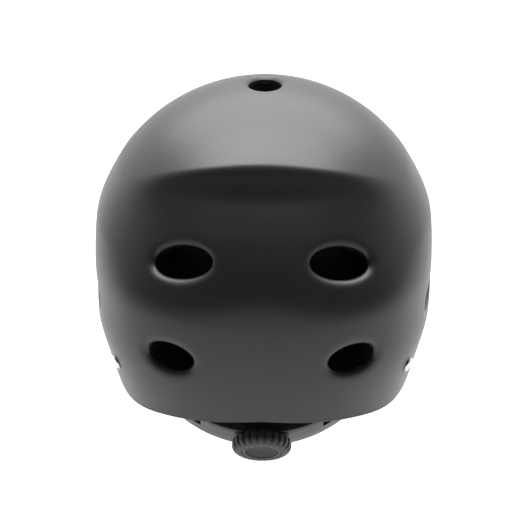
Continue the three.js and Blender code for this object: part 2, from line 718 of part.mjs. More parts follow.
function roundedPlate(fromX, toX, half, halfThick) {
  const { corner } = buckle;
  const shape = new THREE.Shape();
  shape.moveTo(fromX + corner, -half);
  shape.lineTo(toX - corner, -half);
  shape.quadraticCurveTo(toX, -half, toX, -half + corner);
  shape.lineTo(toX, half - corner);
  shape.quadraticCurveTo(toX, half, toX - corner, half);
  shape.lineTo(fromX + corner, half);
  shape.quadraticCurveTo(fromX, half, fromX, half - corner);
  shape.lineTo(fromX, -half + corner);
  shape.quadraticCurveTo(fromX, -half, fromX + corner, -half);
  const bevel = Math.min(1, halfThick / 3);
  const g = new THREE.ExtrudeGeometry(shape, {
    depth: 2 * (halfThick - bevel), bevelEnabled: true,
    bevelThickness: bevel, bevelSize: bevel, bevelOffset: -bevel,
    bevelSegments: 1, curveSegments: 3,
  });
  return g.translate(0, 0, -(halfThick - bevel));
}

const barBetween = (at, half) => rod(buckle.barRadius, -half, half, 10).rotateX(90 * DEG).translate(at, 0, 0);
const barRoom = barBend + strap.thickness / 2 + GAP;

// The opening between the end bar and the plate; towards is where the plate lies from the bar.
function barSlot(at, towards) {
  const half = strap.width / 2 + 0.6;
  const [near, far] = [at - towards * 12, at + towards * barRoom];
  const thick = buckle.halfThick + 1;
  const cut = solid(block(Math.min(near, far), Math.max(near, far), -half, half, -thick, thick));
  return without(cut, [solid(barBetween(at, half + 1))]);
}

function buckleSocket() {
  const b = buckle;
  const [half, thick] = [b.cavityHalfWidth, b.cavityHalfThick];
  const body = solid(roundedPlate(b.socketBar - b.pastBar, b.socketEnd, b.halfWidth, b.halfThick));
  const pocket = solid(block(b.cavityFloor, b.socketEnd + 2, -half, half, -thick, thick));
  const windows = [-1, 1].map((s) => {
    const [low, high] = [half - 1.6, b.halfWidth + 1.8];
    return solid(block(...b.window, ...(s > 0 ? [low, high] : [-high, -low]), -thick, thick));
  });
  return without(body, [pocket, ...windows, barSlot(b.socketBar, 1)]).transform(sideFrame(1).elements);
}

function bucklePlug() {
  const b = buckle;
  const start = b.socketEnd + b.plugFit;
  const base = solid(roundedPlate(start, b.plugBar + b.pastBar, b.halfWidth - 0.4, b.halfThick - 0.3));
  const thick = b.cavityHalfThick - 0.5;
  const tongue = solid(block(b.cavityFloor + 1.5, start + 3, -b.tongueHalf, b.tongueHalf, -thick, thick));
  const room = b.prongWidth / 2 + 0.8;
  const seats = [-1, 1].flatMap((s) => [
    placed(rod(room, -b.halfThick, b.halfThick, 14), prongPivot(s)),
    placed(block(-6, 0, -room, room, -b.halfThick, b.halfThick), prongPivot(s)),
  ]);
  return without(base.add(tongue), [barSlot(b.plugBar, -1), ...seats]).transform(sideFrame(1).elements);
}

const prongRoot = buckle.socketEnd + buckle.plugFit + buckle.prongWidth / 2 + 0.9;
const prongPivot = (s) => new THREE.Matrix4().makeTranslation(prongRoot, s * buckle.prongAt, 0);

function buckleProng(s) {
  const b = buckle;
  const [root, tip, at] = [prongRoot, b.cavityFloor + 1.2, b.prongAt];
  const half = b.prongWidth / 2;
  const outerMost = b.cavityHalfWidth - 0.35;
  const shape = new THREE.Shape();
  shape.moveTo(root, at - half);
  shape.absarc(root, at, half, -90 * DEG, 90 * DEG, false);
  shape.lineTo(b.window[1] + 1, at + half);
  shape.lineTo(b.window[1] - 1.5, outerMost);
  shape.lineTo(b.window[0] + 1.5, outerMost);
  shape.lineTo(tip, at);
  shape.lineTo(tip, at - half);
  const thick = b.cavityHalfThick - 0.45;
  const g = new THREE.ExtrudeGeometry(shape, { depth: 2 * thick, bevelEnabled: false, curveSegments: 6 });
  g.translate(0, 0, -thick);
  return placed(s > 0 ? g : g.rotateX(180 * DEG), sideFrame(1));
}

// ---- The nape cradle, in its own frame: the bands lie on an arc in the XY plane, with the nape at -Y ----

// Part of a ring: angles count from the nape, positive towards the wearer's right.
function sector(inner, outer, low, high, fromAngle, toAngle, steps = 9) {
  const [a, b] = [(fromAngle - 90) * DEG, (toAngle - 90) * DEG];
  const shape = new THREE.Shape();
  shape.moveTo(outer * Math.cos(a), outer * Math.sin(a));
  shape.absarc(0, 0, outer, a, b, false);
  shape.lineTo(inner * Math.cos(b), inner * Math.sin(b));
  shape.absarc(0, 0, inner, b, a, true);
  const g = new THREE.ExtrudeGeometry(shape, { depth: high - low, bevelEnabled: false, curveSegments: steps });
  return solid(g.translate(0, 0, low));
}

// Turns a shape built up +Z so that it points out of the nape at this angle.
const outOfNape = (angle = 0) =>
  new THREE.Matrix4().makeRotationZ(angle * DEG).multiply(new THREE.Matrix4().makeRotationX(90 * DEG));

const bandInner = cradle.radius - cradle.bandThickness / 2;
const bandOuter = cradle.radius + cradle.bandThickness / 2;
const channelInner = bandInner - cradle.channelPlay;
const channelOuter = bandOuter + cradle.channelPlay;
const coverOuter = channelOuter + cradle.coverWall;
const plateInner = channelInner - cradle.plateWall;
const bossTop = coverOuter + 0.5;
const channelHalf = cradle.housingHalfHeight - 2;
const screwAngle = 21;
const slot = { angle: 31.5, halfLength: 3.4, low: -1.1, high: 6 }; // the two small windows in the cover
const pitch = (2 * Math.PI * gear.pitchRadius) / gear.teeth;
const earNear = cradle.bandHalfHeight + ears.gap;

function band(side) {
  const h = cradle.bandHalfHeight;
  const stripInner = gear.pitchRadius + gear.dedendum;
  // the right band's rack runs above the pinion and the left one's below it
  const span = (a, b) => (side > 0 ? [a, b] : [-b, -a]);
  const eyeStart = 90 - (ears.eyeRadius - ears.overlap) / cradle.radius / DEG;
  const broad = sector(bandInner, bandOuter, -h, h, ...span(bandReach.broadEnd, eyeStart), 6);
  const [low, high] = side > 0 ? [stripInner, gear.stripOuter] : [-gear.stripOuter, -stripInner];
  const narrow = sector(bandInner, bandOuter, low, high, ...span(-bandReach.tip, bandReach.broadEnd + 1), 5);
  const teeth = [];
  const count = Math.floor((2 * bandReach.tip * DEG * cradle.radius) / pitch) - 1;
  for (let i = 0; i < count; i++) {
    const at = ((i - count / 2 + 0.5) * pitch + (count % 2 ? pitch / 2 : 0)) / cradle.radius / DEG;
    const shape = new THREE.Shape();
    const [tipHalf, rootHalf] = [gear.halfTooth * 0.65, gear.halfTooth * 1.4];
    const tip = gear.pitchRadius - gear.addendum;
    shape.moveTo(-tipHalf, side * tip);
    shape.lineTo(tipHalf, side * tip);
    shape.lineTo(rootHalf, side * (stripInner + 0.3));
    shape.lineTo(-rootHalf, side * (stripInner + 0.3));
    const g = new THREE.ExtrudeGeometry(shape, { depth: bandOuter - bandInner - 0.06, bevelEnabled: false });
    teeth.push(placed(g.translate(0, 0, bandInner + 0.03), outOfNape(at)));
  }
  const eye = solid(rod(ears.eyeRadius, -h, h, 14).translate(side * cradle.radius, 0, 0));
  const bore = solid(rod(2.2, -h - 1, h + 1, 12).translate(side * cradle.radius, 0, 0));
  return joined([broad, narrow, ...teeth, eye]).subtract(bore);
}

function templeLink(side) {
  const x = (a, b) => (side > 0 ? [a, b] : [-b, -a]);
  const r = cradle.radius;
  const [near, far] = [earNear, earNear + ears.thickness];
  const plate = solid(block(...x(r + 4.4, r + 6.4), -8, 8, -far, far));
  const heights = [[near, far], [-far, -near]];
  const pair = heights.map((levels) => solid(block(...x(r - 4, r + 5), -5, 5, ...levels)));
  const boss = solid(rod(anchor.bossRadius, ...x(r + 6, anchor.base - 0.6), 14).rotateY(90 * DEG));
  const hole = solid(rod(anchor.studRadius + 0.3, ...x(studTip - 0.3, anchor.base + 10), 14).rotateY(90 * DEG));
  const pinHole = solid(rod(1.75, -12, 12, 12).translate(side * r, 0, 0));
  return joined([plate, ...pair, boss]).subtract(hole).subtract(pinHole);
}

const linkPin = (side) => {
  const end = earNear + ears.thickness + 0.4;
  return solid(rod(1.4, -end, end, 10).translate(side * cradle.radius, 0, 0));
};

function anchorStud(side) {
  const base = solid(rod(anchor.baseRadius, anchor.base, anchor.base + anchor.baseThickness, 18));
  const stud = solid(rod(anchor.studRadius, studTip, anchor.base + 1, 14));
  return base.add(stud).transform(anchorFrame(side).elements);
}

function housingCover() {
  const half = cradle.housingHalfHeight;
  const s = cradle.housingSpan;
  const shellArc = sector(plateInner, coverOuter, -half, half, -s, s);
  const channel = sector(plateInner - 1, channelOuter, -channelHalf, channelHalf, -s - 2, s + 2);
  const boss = placed(rod(dial.bossRadius, channelOuter + 0.5, bossTop), outOfNape());
  const inside = sector(channelInner, channelOuter, -channelHalf, channelHalf, -12, 12, 2);
  const post = rod(2.1, channelInner + 0.3, channelOuter + 1, 10);
  const screwHole = rod(1.3, channelInner, channelOuter + 1.2, 8);
  const { halfLength, low, high } = slot;
  const opening = block(-halfLength, halfLength, low, high, channelOuter - 1, coverOuter + 2);
  const posts = [-1, 1].map((k) => placed(post, outOfNape(k * screwAngle)));
  const shaftHole = placed(rod(dial.shaft + 0.35, channelInner, bossTop + 2, 14), outOfNape());
  const screwHoles = [-1, 1].map((k) => placed(screwHole, outOfNape(k * screwAngle)));
  const windows = [-1, 1].map((k) => placed(opening, outOfNape(k * slot.angle)));
  const body = without(shellArc, [channel]).add(without(boss, [inside]));
  return without(joined([body, ...posts]), [shaftHole, ...screwHoles, ...windows]);
}

function housingPlate() {
  const s = cradle.housingSpan - 1;
  const plate = sector(plateInner, channelInner, -channelHalf + GAP, channelHalf - GAP, -s, s);
  const holes = [-1, 1].flatMap((k) => [
    placed(rod(1.3, plateInner - 3, channelInner + 2, 8), outOfNape(k * screwAngle)),
    placed(rod(2.7, plateInner - 3, plateInner + 1.3, 12), outOfNape(k * screwAngle)),
  ]);
  return without(plate, holes);
}

const housingScrew = (k) =>
  joined([
    placed(rod(2.3, plateInner + 0.1, plateInner + 1.0, 10), outOfNape(k * screwAngle)),
    placed(rod(0.95, plateInner + 0.5, channelOuter + 0.6, 8), outOfNape(k * screwAngle)),
  ]);

const napePad = () => sector(plateInner - 4.6, plateInner - GAP, -8, 8, -30, 30, 6);

function pinion() {
  const shape = new THREE.Shape();
  const [root, tip] = [gear.pitchRadius - gear.dedendum, gear.pitchRadius + gear.addendum];
  for (let i = 0; i < gear.teeth; i++) {
    const middle = 90 * DEG + (i * 2 * Math.PI) / gear.teeth;
    const rootHalf = (gear.halfTooth * 1.5) / root;
    const tipHalf = (gear.halfTooth * 0.65) / tip;
    const tooth = [[root, -rootHalf], [tip, -tipHalf], [tip, tipHalf], [root, rootHalf]];
    tooth.forEach(([r, turn], k) => {
      const a = middle + turn;
      shape[i + k ? "lineTo" : "moveTo"](r * Math.cos(a), r * Math.sin(a));
    });
  }
  const low = channelInner + 0.5;
  const g = new THREE.ExtrudeGeometry(shape, { depth: channelOuter - 0.4 - low, bevelEnabled: false });
  g.translate(0, 0, low);
  const shaft = placed(rod(dial.shaft, low + 0.5, bossTop + 4, 14), outOfNape());
  const bore = placed(rod(1.1, channelOuter, bossTop + 6, 10), outOfNape());
  return placed(g, outOfNape()).add(shaft).subtract(bore);
}

const knobBase = bossTop + 0.4;
const knobTop = knobBase + dial.height;

function dialKnob() {
  const perRib = 2;
  const around = dial.ribs * perRib;
  const rows = [[0, 0.97], [0.55, 0.975], [0.86, 0.885], [1, 0.78]];
  const rings = rows.map(([h, share], k) =>
    Array.from({ length: around }, (_, i) => {
      const ribbed = k < 3 && i % perRib === 0 ? 0.94 : 1;
      const r = dial.radius * share * ribbed;
      const a = (i / around) * 2 * Math.PI;
      return new THREE.Vector3(r * Math.cos(a), r * Math.sin(a), knobBase + h * dial.height);
    }),
  );
  const body = loft(rings);
  const cuts = [
    solid(rod(dial.faceRadius + 0.3, knobTop - 1.4, knobTop + 2)),
    solid(rod(3.4, knobTop - 3.6, knobTop, 14)),
    solid(rod(1.3, knobBase - 1, knobTop, 12)),
    solid(rod(dial.shaft + 0.3, knobBase - 1, bossTop + 4.3, 14)),
    without(solid(rod(14.4, knobBase - 1, knobBase + 2)), [solid(rod(8.4, knobBase - 2, knobBase + 3, 14))]),
  ];
  return without(body, cuts).transform(outOfNape().elements);
}

const dialCap = () => placed(rod(dial.faceRadius, knobTop - 1.2, knobTop - 0.5), outOfNape());

const dialScrew = () =>
  joined([
    placed(rod(3, knobTop - 3.4, knobTop - 1.9, 12), outOfNape()),
    placed(rod(0.95, bossTop - 1, knobTop - 3, 10), outOfNape()),
  ]);

function clickRing() {
  const shape = new THREE.Shape();
  const notches = 16;
  for (let i = 0; i < notches * 2; i++) {
    const a = (i / (notches * 2)) * 2 * Math.PI;
    const r = i % 2 ? 13.2 : 12.2;
    shape[i ? "lineTo" : "moveTo"](r * Math.cos(a), r * Math.sin(a));
  }
  const hole = new THREE.Path();
  hole.absarc(0, 0, 9.2, 0, 2 * Math.PI, true);
  shape.holes.push(hole);
  const g = new THREE.ExtrudeGeometry(shape, { depth: 1.2, bevelEnabled: false, curveSegments: 10 });
  return placed(g.translate(0, 0, bossTop + 0.35), outOfNape());
}

// ---- The assembly ----

const helmet = new THREE.Group();
helmet.position.copy(seat).negate();
const cradleGroup = new THREE.Group();
cradleGroup.position.set(0, cradle.y, cradle.z);
cradleGroup.rotation.x = cradle.slope * DEG;
helmet.add(cradleGroup);

function add(name, body, material, group = helmet) {
  const mesh = new THREE.Mesh(body.isBufferGeometry ? body : geometryOf(body), material);
  mesh.name = name;
  group.add(mesh);
  return mesh;
}

add("outer_shell", outerShell(), finish.shell);
add("foam_liner", foamLiner(), finish.foam);

add("brow_pad", wallPad(38, 142, () => 4, (round) => rimHeight(round) + 6), finish.fabric);
add("rear_pad", wallPad(-138, -42, () => -20, (round) => rimHeight(round) + 7), finish.fabric);
add("rear_upper_pad_right", wallPad(-78, -34, () => 54, () => 8), finish.fabric);
add("rear_upper_pad_left", wallPad(-146, -102, () => 54, () => 8), finish.fabric);
add("side_pad_right", wallPad(-2, 34, () => 26, () => -14), finish.fabric);
add("side_pad_left", wallPad(146, 182, () => 26, () => -14), finish.fabric);
add("crown_pad", crownPadBody(), finish.fabric);

for (const end of ends)
  for (const [word, side] of sides) {
    const frame = rivetFrame(end, side);
    add(`rivet_${end}_${word}`, rivetBody(), finish.steel).applyMatrix4(frame);
    add(`washer_${end}_${word}`, washerBody(), finish.steel).applyMatrix4(frame);
    add(`strap_${end}_${word}`, vStrap(end, side), finish.webbing);
  }
for (const [word, side] of sides) {
  add(`divider_${word}`, dividerBody(side), finish.hard);
  add(`anchor_stud_${word}`, anchorStud(side), finish.hard);
}

add("upper_strap_right", upperStrapRight(), finish.webbing);
add("chin_strap_left", chinStrapLeft(), finish.webbing);
add("chin_strap_right", chinStrapRight(), finish.webbing);
add("chin_pad", chinPadBody(), finish.fabric);
add("strap_keeper", strapKeeper(), finish.rubber);
add("buckle_socket", buckleSocket(), finish.hard);
add("buckle_plug", bucklePlug(), finish.hard);
add("buckle_prong_front", buckleProng(1), finish.hard);
add("buckle_prong_rear", buckleProng(-1), finish.hard);

for (const [word, side] of sides) {
  add(`band_${word}`, band(side), finish.hard, cradleGroup);
  add(`temple_link_${word}`, templeLink(side), finish.hard, cradleGroup);
  add(`link_pin_${word}`, linkPin(side), finish.steel, cradleGroup);
  add(`housing_screw_${word}`, housingScrew(side), finish.steel, cradleGroup);
}
add("housing_cover", housingCover(), finish.hard, cradleGroup);
add("housing_plate", housingPlate(), finish.hard, cradleGroup);
add("nape_pad", napePad(), finish.fabric, cradleGroup);
add("click_ring", clickRing(), finish.hard, cradleGroup);
add("pinion", pinion(), finish.hard, cradleGroup);
add("dial_knob", dialKnob(), finish.rubber, cradleGroup);
add("dial_cap", dialCap(), finish.hard, cradleGroup);
add("dial_screw", dialScrew(), finish.steel, cradleGroup);

export default helmet;
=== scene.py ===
import json
import math

import bmesh
import bpy
import numpy as np
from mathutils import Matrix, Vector
from mathutils.geometry import delaunay_2d_cdt


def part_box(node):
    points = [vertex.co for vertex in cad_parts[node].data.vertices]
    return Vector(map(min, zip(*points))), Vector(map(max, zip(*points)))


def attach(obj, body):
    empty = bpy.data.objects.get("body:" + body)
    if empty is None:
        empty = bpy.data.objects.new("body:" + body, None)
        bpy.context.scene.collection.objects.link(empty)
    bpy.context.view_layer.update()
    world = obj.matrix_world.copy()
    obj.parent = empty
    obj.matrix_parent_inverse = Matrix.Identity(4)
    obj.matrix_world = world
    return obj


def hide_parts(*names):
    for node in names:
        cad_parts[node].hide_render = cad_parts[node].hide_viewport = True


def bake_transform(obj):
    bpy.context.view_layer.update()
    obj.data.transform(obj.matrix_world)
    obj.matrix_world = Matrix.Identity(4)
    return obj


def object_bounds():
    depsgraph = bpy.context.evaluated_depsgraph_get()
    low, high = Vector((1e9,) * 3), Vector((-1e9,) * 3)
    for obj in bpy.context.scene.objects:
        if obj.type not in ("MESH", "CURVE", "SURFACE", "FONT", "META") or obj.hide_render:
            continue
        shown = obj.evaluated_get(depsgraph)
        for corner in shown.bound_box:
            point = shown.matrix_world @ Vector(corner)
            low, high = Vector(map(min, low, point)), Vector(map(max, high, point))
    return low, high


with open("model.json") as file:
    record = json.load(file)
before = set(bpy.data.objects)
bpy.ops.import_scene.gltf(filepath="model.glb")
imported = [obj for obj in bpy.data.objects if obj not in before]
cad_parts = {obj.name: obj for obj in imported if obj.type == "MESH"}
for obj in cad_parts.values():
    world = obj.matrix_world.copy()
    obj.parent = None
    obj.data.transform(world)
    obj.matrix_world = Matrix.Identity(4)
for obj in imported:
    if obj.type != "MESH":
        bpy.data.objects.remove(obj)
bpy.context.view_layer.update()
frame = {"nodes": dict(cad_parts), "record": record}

print("frame loaded:", len(frame["nodes"]), "nodes")

# Shapes are worked out in millimetres from the dome's centre, x to the wearer's right and y forwards,
# and put in place by toFrame.
crownLow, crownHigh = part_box("crown_pad")
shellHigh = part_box("outer_shell")[1]
domeHeight = 102.5
crownPadY = -12
domeCentre = np.array([
    0.0,
    (crownLow[1] + crownHigh[1]) / 2 - crownPadY / 1000,
    shellHigh[2] - domeHeight / 1000,
])


def toFrame(points):
    return np.asarray(points, float) / 1000 + domeCentre


# camera, floor and lights
cameraSetup = {
    "azimuth": 1.0,        # degrees round from straight behind
    "elevation": 28.0,
    "distance": 1.5,
    "lens": 156.7,
    "centreX": 264.0,      # where the dome's centre shows, out of 530
    "centreY": 243.5,
}


def buildCamera():
    setup = cameraSetup
    turn, rise = math.radians(setup["azimuth"]), math.radians(setup["elevation"])
    back = Vector((math.sin(turn) * math.cos(rise), -math.cos(turn) * math.cos(rise), math.sin(rise)))
    data = bpy.data.cameras.new("camera")
    data.lens = setup["lens"]
    data.sensor_width = 36
    data.shift_x = (265 - setup["centreX"]) / 530
    data.shift_y = (setup["centreY"] - 265) / 530
    data.clip_end = 60
    camera = bpy.data.objects.new("camera", data)
    camera.location = Vector(domeCentre) + back * setup["distance"]
    camera.rotation_euler = back.to_track_quat("Z", "Y").to_euler()
    bpy.context.collection.objects.link(camera)
    bpy.context.scene.camera = camera


buildCamera()

studio = {
    "floorDrop": 0.02,      # how far the floor is below the chin strap
    "floorColour": 0.3,
    "floorGlow": (0.46, 0.95),      # far behind the helmet, then under it and in front
    "floorFade": (-1.6, -0.35),
    "roomGlow": (0.07, 1.15),       # behind, then in front
    "roomFade": (-0.15, 0.55),
    "overhead": {"place": (0.0, 0.42, 1.25), "size": (1.7, 1.0), "power": 41.0},
    "frontHigh": {"place": (0.0, 1.45, 0.95), "size": (2.2, 0.9), "power": 19.0},
}


def areaLight(name, place, size, power, aim):
    data = bpy.data.lights.new(name, "AREA")
    data.shape = "RECTANGLE"
    data.size, data.size_y = size
    data.energy = power
    lamp = bpy.data.objects.new(name, data)
    lamp.location = place
    lamp.rotation_euler = (Vector(place) - Vector(aim)).to_track_quat("Z", "Y").to_euler()
    bpy.context.collection.objects.link(lamp)
    return lamp


def buildStudio():
    for name in ("overhead", "frontHigh"):
        lamp = studio[name]
        areaLight(name, lamp["place"], lamp["size"], lamp["power"], tuple(domeCentre))
    world = bpy.data.worlds.new("room")
    bpy.context.scene.world = world
    world.use_nodes = True
    tree = world.node_tree
    background = tree.nodes["Background"]
    background.inputs["Color"].default_value = (1, 1, 1, 1)
    coords = tree.nodes.new("ShaderNodeTexCoord")
    split = tree.nodes.new("ShaderNodeSeparateXYZ")
    tree.links.new(coords.outputs["Generated"], split.inputs[0])
    fade = tree.nodes.new("ShaderNodeMapRange")
    fade.interpolation_type = "SMOOTHSTEP"
    ends = (*studio["roomFade"], *studio["roomGlow"])
    for key, value in zip(("From Min", "From Max", "To Min", "To Max"), ends):
        fade.inputs[key].default_value = value
    tree.links.new(split.outputs["Y"], fade.inputs["Value"])
    tree.links.new(fade.outputs["Result"], background.inputs["Strength"])


buildStudio()
print("camera and studio placed")


# materials

def newMaterial(name, roughness, colour, metallic=0.0):
    material = bpy.data.materials.new(name)
    material.use_nodes = True
    shader = material.node_tree.nodes["Principled BSDF"]
    shader.inputs["Base Color"].default_value = (*colour, 1)
    shader.inputs["Roughness"].default_value = roughness
    shader.inputs["Metallic"].default_value = metallic
    return material, material.node_tree, shader


def noiseOf(tree, scale, detail=4.0, roughness=0.55):
    coords = tree.nodes.get("coords") or tree.nodes.new("ShaderNodeTexCoord")
    coords.name = "coords"
    noise = tree.nodes.new("ShaderNodeTexNoise")
    noise.inputs["Scale"].default_value = scale
    noise.inputs["Detail"].default_value = detail
    noise.inputs["Roughness"].default_value = roughness
    tree.links.new(coords.outputs["Object"], noise.inputs["Vector"])
    return noise.outputs["Fac"]


def mapped(tree, source, low, high, fromLow=0.0, fromHigh=1.0):
    node = tree.nodes.new("ShaderNodeMapRange")
    for key, value in (("From Min", fromLow), ("From Max", fromHigh), ("To Min", low), ("To Max", high)):
        node.inputs[key].default_value = value
    tree.links.new(source, node.inputs["Value"])
    return node.outputs["Result"]


def mathOf(tree, operation, first, second=None):
    node = tree.nodes.new("ShaderNodeMath")
    node.operation = operation
    for socket, value in zip(node.inputs, (first, second)):
        if value is None:
            continue
        if isinstance(value, (int, float)):
            socket.default_value = value
        else:
            tree.links.new(value, socket)
    return node.outputs[0]


def colourBetween(tree, factor, first, second):
    node = tree.nodes.new("ShaderNodeMix")
    node.data_type = "RGBA"
    node.inputs[6].default_value = (*first, 1)
    node.inputs[7].default_value = (*second, 1)
    tree.links.new(factor, node.inputs[0])
    return node.outputs[2]


def addBump(tree, shader, height, strength, distance, below=None):
    bump = tree.nodes.new("ShaderNodeBump")
    bump.inputs["Strength"].default_value = strength
    bump.inputs["Distance"].default_value = distance
    tree.links.new(height, bump.inputs["Height"])
    if below is not None:
        tree.links.new(below, bump.inputs["Normal"])
    tree.links.new(bump.outputs["Normal"], shader.inputs["Normal"])
    return bump.outputs["Normal"]


shellFinish = {
    "colour": (0.0125, 0.0125, 0.0132),
    "paler": (0.0175, 0.0175, 0.0182),
    "roughness": (0.36, 0.44),
    "grain": 2600.0,
    "grainDepth": 0.00006,
    "seamWidth": 0.00022,
}


def shellPlastic():
    # satin moulded plastic with a fine spark-eroded grain and the mould's two witness lines
    material, tree, shader = newMaterial("shellPlastic", 0.4, shellFinish["colour"])
    cloud = noiseOf(tree, 9, 5)
    tree.links.new(mapped(tree, cloud, *shellFinish["roughness"], 0.3, 0.7), shader.inputs["Roughness"])
    coords = tree.nodes["coords"]
    split = tree.nodes.new("ShaderNodeSeparateXYZ")
    tree.links.new(coords.outputs["Object"], split.inputs[0])
    width = shellFinish["seamWidth"]
    middle = mathOf(tree, "ABSOLUTE", mathOf(tree, "ADD", split.outputs["X"], 0.0016))
    upright = mapped(tree, middle, 1.0, 0.0, width * 0.4, width * 2.2)
    behind = mapped(tree, split.outputs["Y"], 1.0, 0.0, -0.03, -0.02)
    ring = mathOf(tree, "ABSOLUTE", mathOf(tree, "ADD", split.outputs["Z"], -float(domeCentre[2]) - 0.0925))
    level = mapped(tree, ring, 1.0, 0.0, width * 0.3, width * 1.6)
    uprightBehind = mathOf(tree, "MULTIPLY", upright, behind)
    line = mathOf(tree, "MAXIMUM", uprightBehind, mathOf(tree, "MULTIPLY", level, behind))
    speck = mapped(tree, noiseOf(tree, 700, 2), 0.0, 0.35, 0.62, 0.75)
    tint = mathOf(tree, "ADD", mathOf(tree, "MULTIPLY", line, 0.8), speck)
    tint = mathOf(tree, "ADD", tint, mathOf(tree, "MULTIPLY", cloud, 0.3))
    colour = colourBetween(tree, tint, shellFinish["colour"], shellFinish["paler"])
    tree.links.new(colour, shader.inputs["Base Color"])
    grain = noiseOf(tree, shellFinish["grain"], 2, 0.6)
    normal = addBump(tree, shader, grain, 0.35, shellFinish["grainDepth"])
    addBump(tree, shader, line, 0.5, 0.00008, normal)
    return material


def evaFoam():
    material, tree, shader = newMaterial("evaFoam", 0.88, (0.011, 0.011, 0.012))
    cells = tree.nodes.new("ShaderNodeTexVoronoi")
    cells.inputs["Scale"].default_value = 900
    coords = tree.nodes.new("ShaderNodeTexCoord")
    coords.name = "coords"
    tree.links.new(coords.outputs["Object"], cells.inputs["Vector"])
    soft = noiseOf(tree, 60, 5)
    colour = colourBetween(tree, soft, (0.009, 0.009, 0.010), (0.018, 0.018, 0.019))
    tree.links.new(colour, shader.inputs["Base Color"])
    normal = addBump(tree, shader, cells.outputs["Distance"], 0.5, 0.0003)
    addBump(tree, shader, soft, 0.25, 0.0008, normal)
    return material


def knitFabric():
    # brushed knit: fine ribs one way, loops the other, and a soft nap that lightens at grazing angles
    material, tree, shader = newMaterial("knitFabric", 0.92, (0.012, 0.012, 0.013))
    coords = tree.nodes.new("ShaderNodeTexCoord")
    coords.name = "coords"
    heights = []
    for axis, scale in (("X", 620), ("Z", 430)):
        wave = tree.nodes.new("ShaderNodeTexWave")
        wave.bands_direction = axis
        wave.inputs["Scale"].default_value = scale / 6.3
        wave.inputs["Distortion"].default_value = 1.1
        wave.inputs["Detail"].default_value = 1.0
        tree.links.new(coords.outputs["Object"], wave.inputs["Vector"])
        heights.append(wave.outputs["Fac"])
    knit = mathOf(tree, "MULTIPLY", heights[0], heights[1])
    fluff = noiseOf(tree, 240, 6, 0.7)
    shade = mathOf(tree, "ADD", mathOf(tree, "MULTIPLY", knit, 0.5), mathOf(tree, "MULTIPLY", fluff, 0.5))
    colour = colourBetween(tree, shade, (0.008, 0.008, 0.009), (0.030, 0.030, 0.033))
    tree.links.new(colour, shader.inputs["Base Color"])
    shader.inputs["Sheen Weight"].default_value = 0.35
    shader.inputs["Sheen Roughness"].default_value = 0.4
    normal = addBump(tree, shader, knit, 0.7, 0.0004)
    addBump(tree, shader, fluff, 0.3, 0.0003, normal)
    return material


def webbingWeave():
    # ribbed polyester webbing: u runs across the strap and v along it, both in metres
    material, tree, shader = newMaterial("webbingWeave", 0.7, (0.012, 0.012, 0.013))
    coords = tree.nodes.new("ShaderNodeTexCoord")
    coords.name = "coords"
    split = tree.nodes.new("ShaderNodeSeparateXYZ")
    tree.links.new(coords.outputs["UV"], split.inputs[0])
    across = mathOf(tree, "SINE", mathOf(tree, "MULTIPLY", split.outputs["X"], 2 * math.pi / 0.00125))
    along = mathOf(tree, "SINE", mathOf(tree, "MULTIPLY", split.outputs["Y"], 2 * math.pi / 0.0019))
    weave = mathOf(tree, "ADD", mathOf(tree, "MULTIPLY", across, along), mathOf(tree, "MULTIPLY", across, 0.6))
    height = mapped(tree, weave, 0.0, 1.0, -1.6, 1.6)
    fibre = noiseOf(tree, 900, 3)
    shade = mathOf(tree, "ADD", mathOf(tree, "MULTIPLY", height, 0.7), mathOf(tree, "MULTIPLY", fibre, 0.3))
    colour = colourBetween(tree, shade, (0.006, 0.006, 0.0065), (0.030, 0.030, 0.032))
    tree.links.new(colour, shader.inputs["Base Color"])
    tree.links.new(mapped(tree, fibre, 0.58, 0.78), shader.inputs["Roughness"])
    normal = addBump(tree, shader, height, 0.8, 0.00035)
    addBump(tree, shader, fibre, 0.2, 0.0001, normal)
    return material


def stitchThread():
    material, tree, shader = newMaterial("stitchThread", 0.6, (0.05, 0.05, 0.053))
    twist = noiseOf(tree, 1500, 2)
    colour = colourBetween(tree, twist, (0.02, 0.02, 0.022), (0.07, 0.07, 0.073))
    tree.links.new(colour, shader.inputs["Base Color"])
    addBump(tree, shader, twist, 0.5, 0.0001)
    return material


def rivetSteel():
    material, tree, shader = newMaterial("rivetSteel", 0.24, (0.66, 0.66, 0.65), 1.0)
    smear = noiseOf(tree, 260, 6)
    tree.links.new(mapped(tree, smear, 0.16, 0.38, 0.3, 0.7), shader.inputs["Roughness"])
    colour = colourBetween(tree, noiseOf(tree, 90, 4), (0.56, 0.56, 0.55), (0.72, 0.72, 0.71))
    tree.links.new(colour, shader.inputs["Base Color"])
    addBump(tree, shader, smear, 0.12, 0.00004)
    return material


def hardPlastic(name="hardPlastic", dark=(0.015, 0.015, 0.0158), light=(0.023, 0.023, 0.024), shine=0.5):
    material, tree, shader = newMaterial(name, 0.45, light)
    shader.inputs["Specular IOR Level"].default_value = shine
    cloud = noiseOf(tree, 40, 4)
    tree.links.new(mapped(tree, cloud, 0.36, 0.5, 0.3, 0.7), shader.inputs["Roughness"])
    tree.links.new(colourBetween(tree, cloud, dark, light), shader.inputs["Base Color"])
    addBump(tree, shader, noiseOf(tree, 2200, 2), 0.25, 0.00005)
    return material


def knobRubber():
    material, tree, shader = newMaterial("knobRubber", 0.55, (0.012, 0.012, 0.0125))
    dust = noiseOf(tree, 350, 5, 0.65)
    tree.links.new(mapped(tree, dust, 0.42, 0.66, 0.3, 0.7), shader.inputs["Roughness"])
    colour = colourBetween(tree, dust, (0.026, 0.026, 0.0268), (0.046, 0.046, 0.048))
    tree.links.new(colour, shader.inputs["Base Color"])
    addBump(tree, shader, noiseOf(tree, 1800, 2), 0.3, 0.00006)
    return material


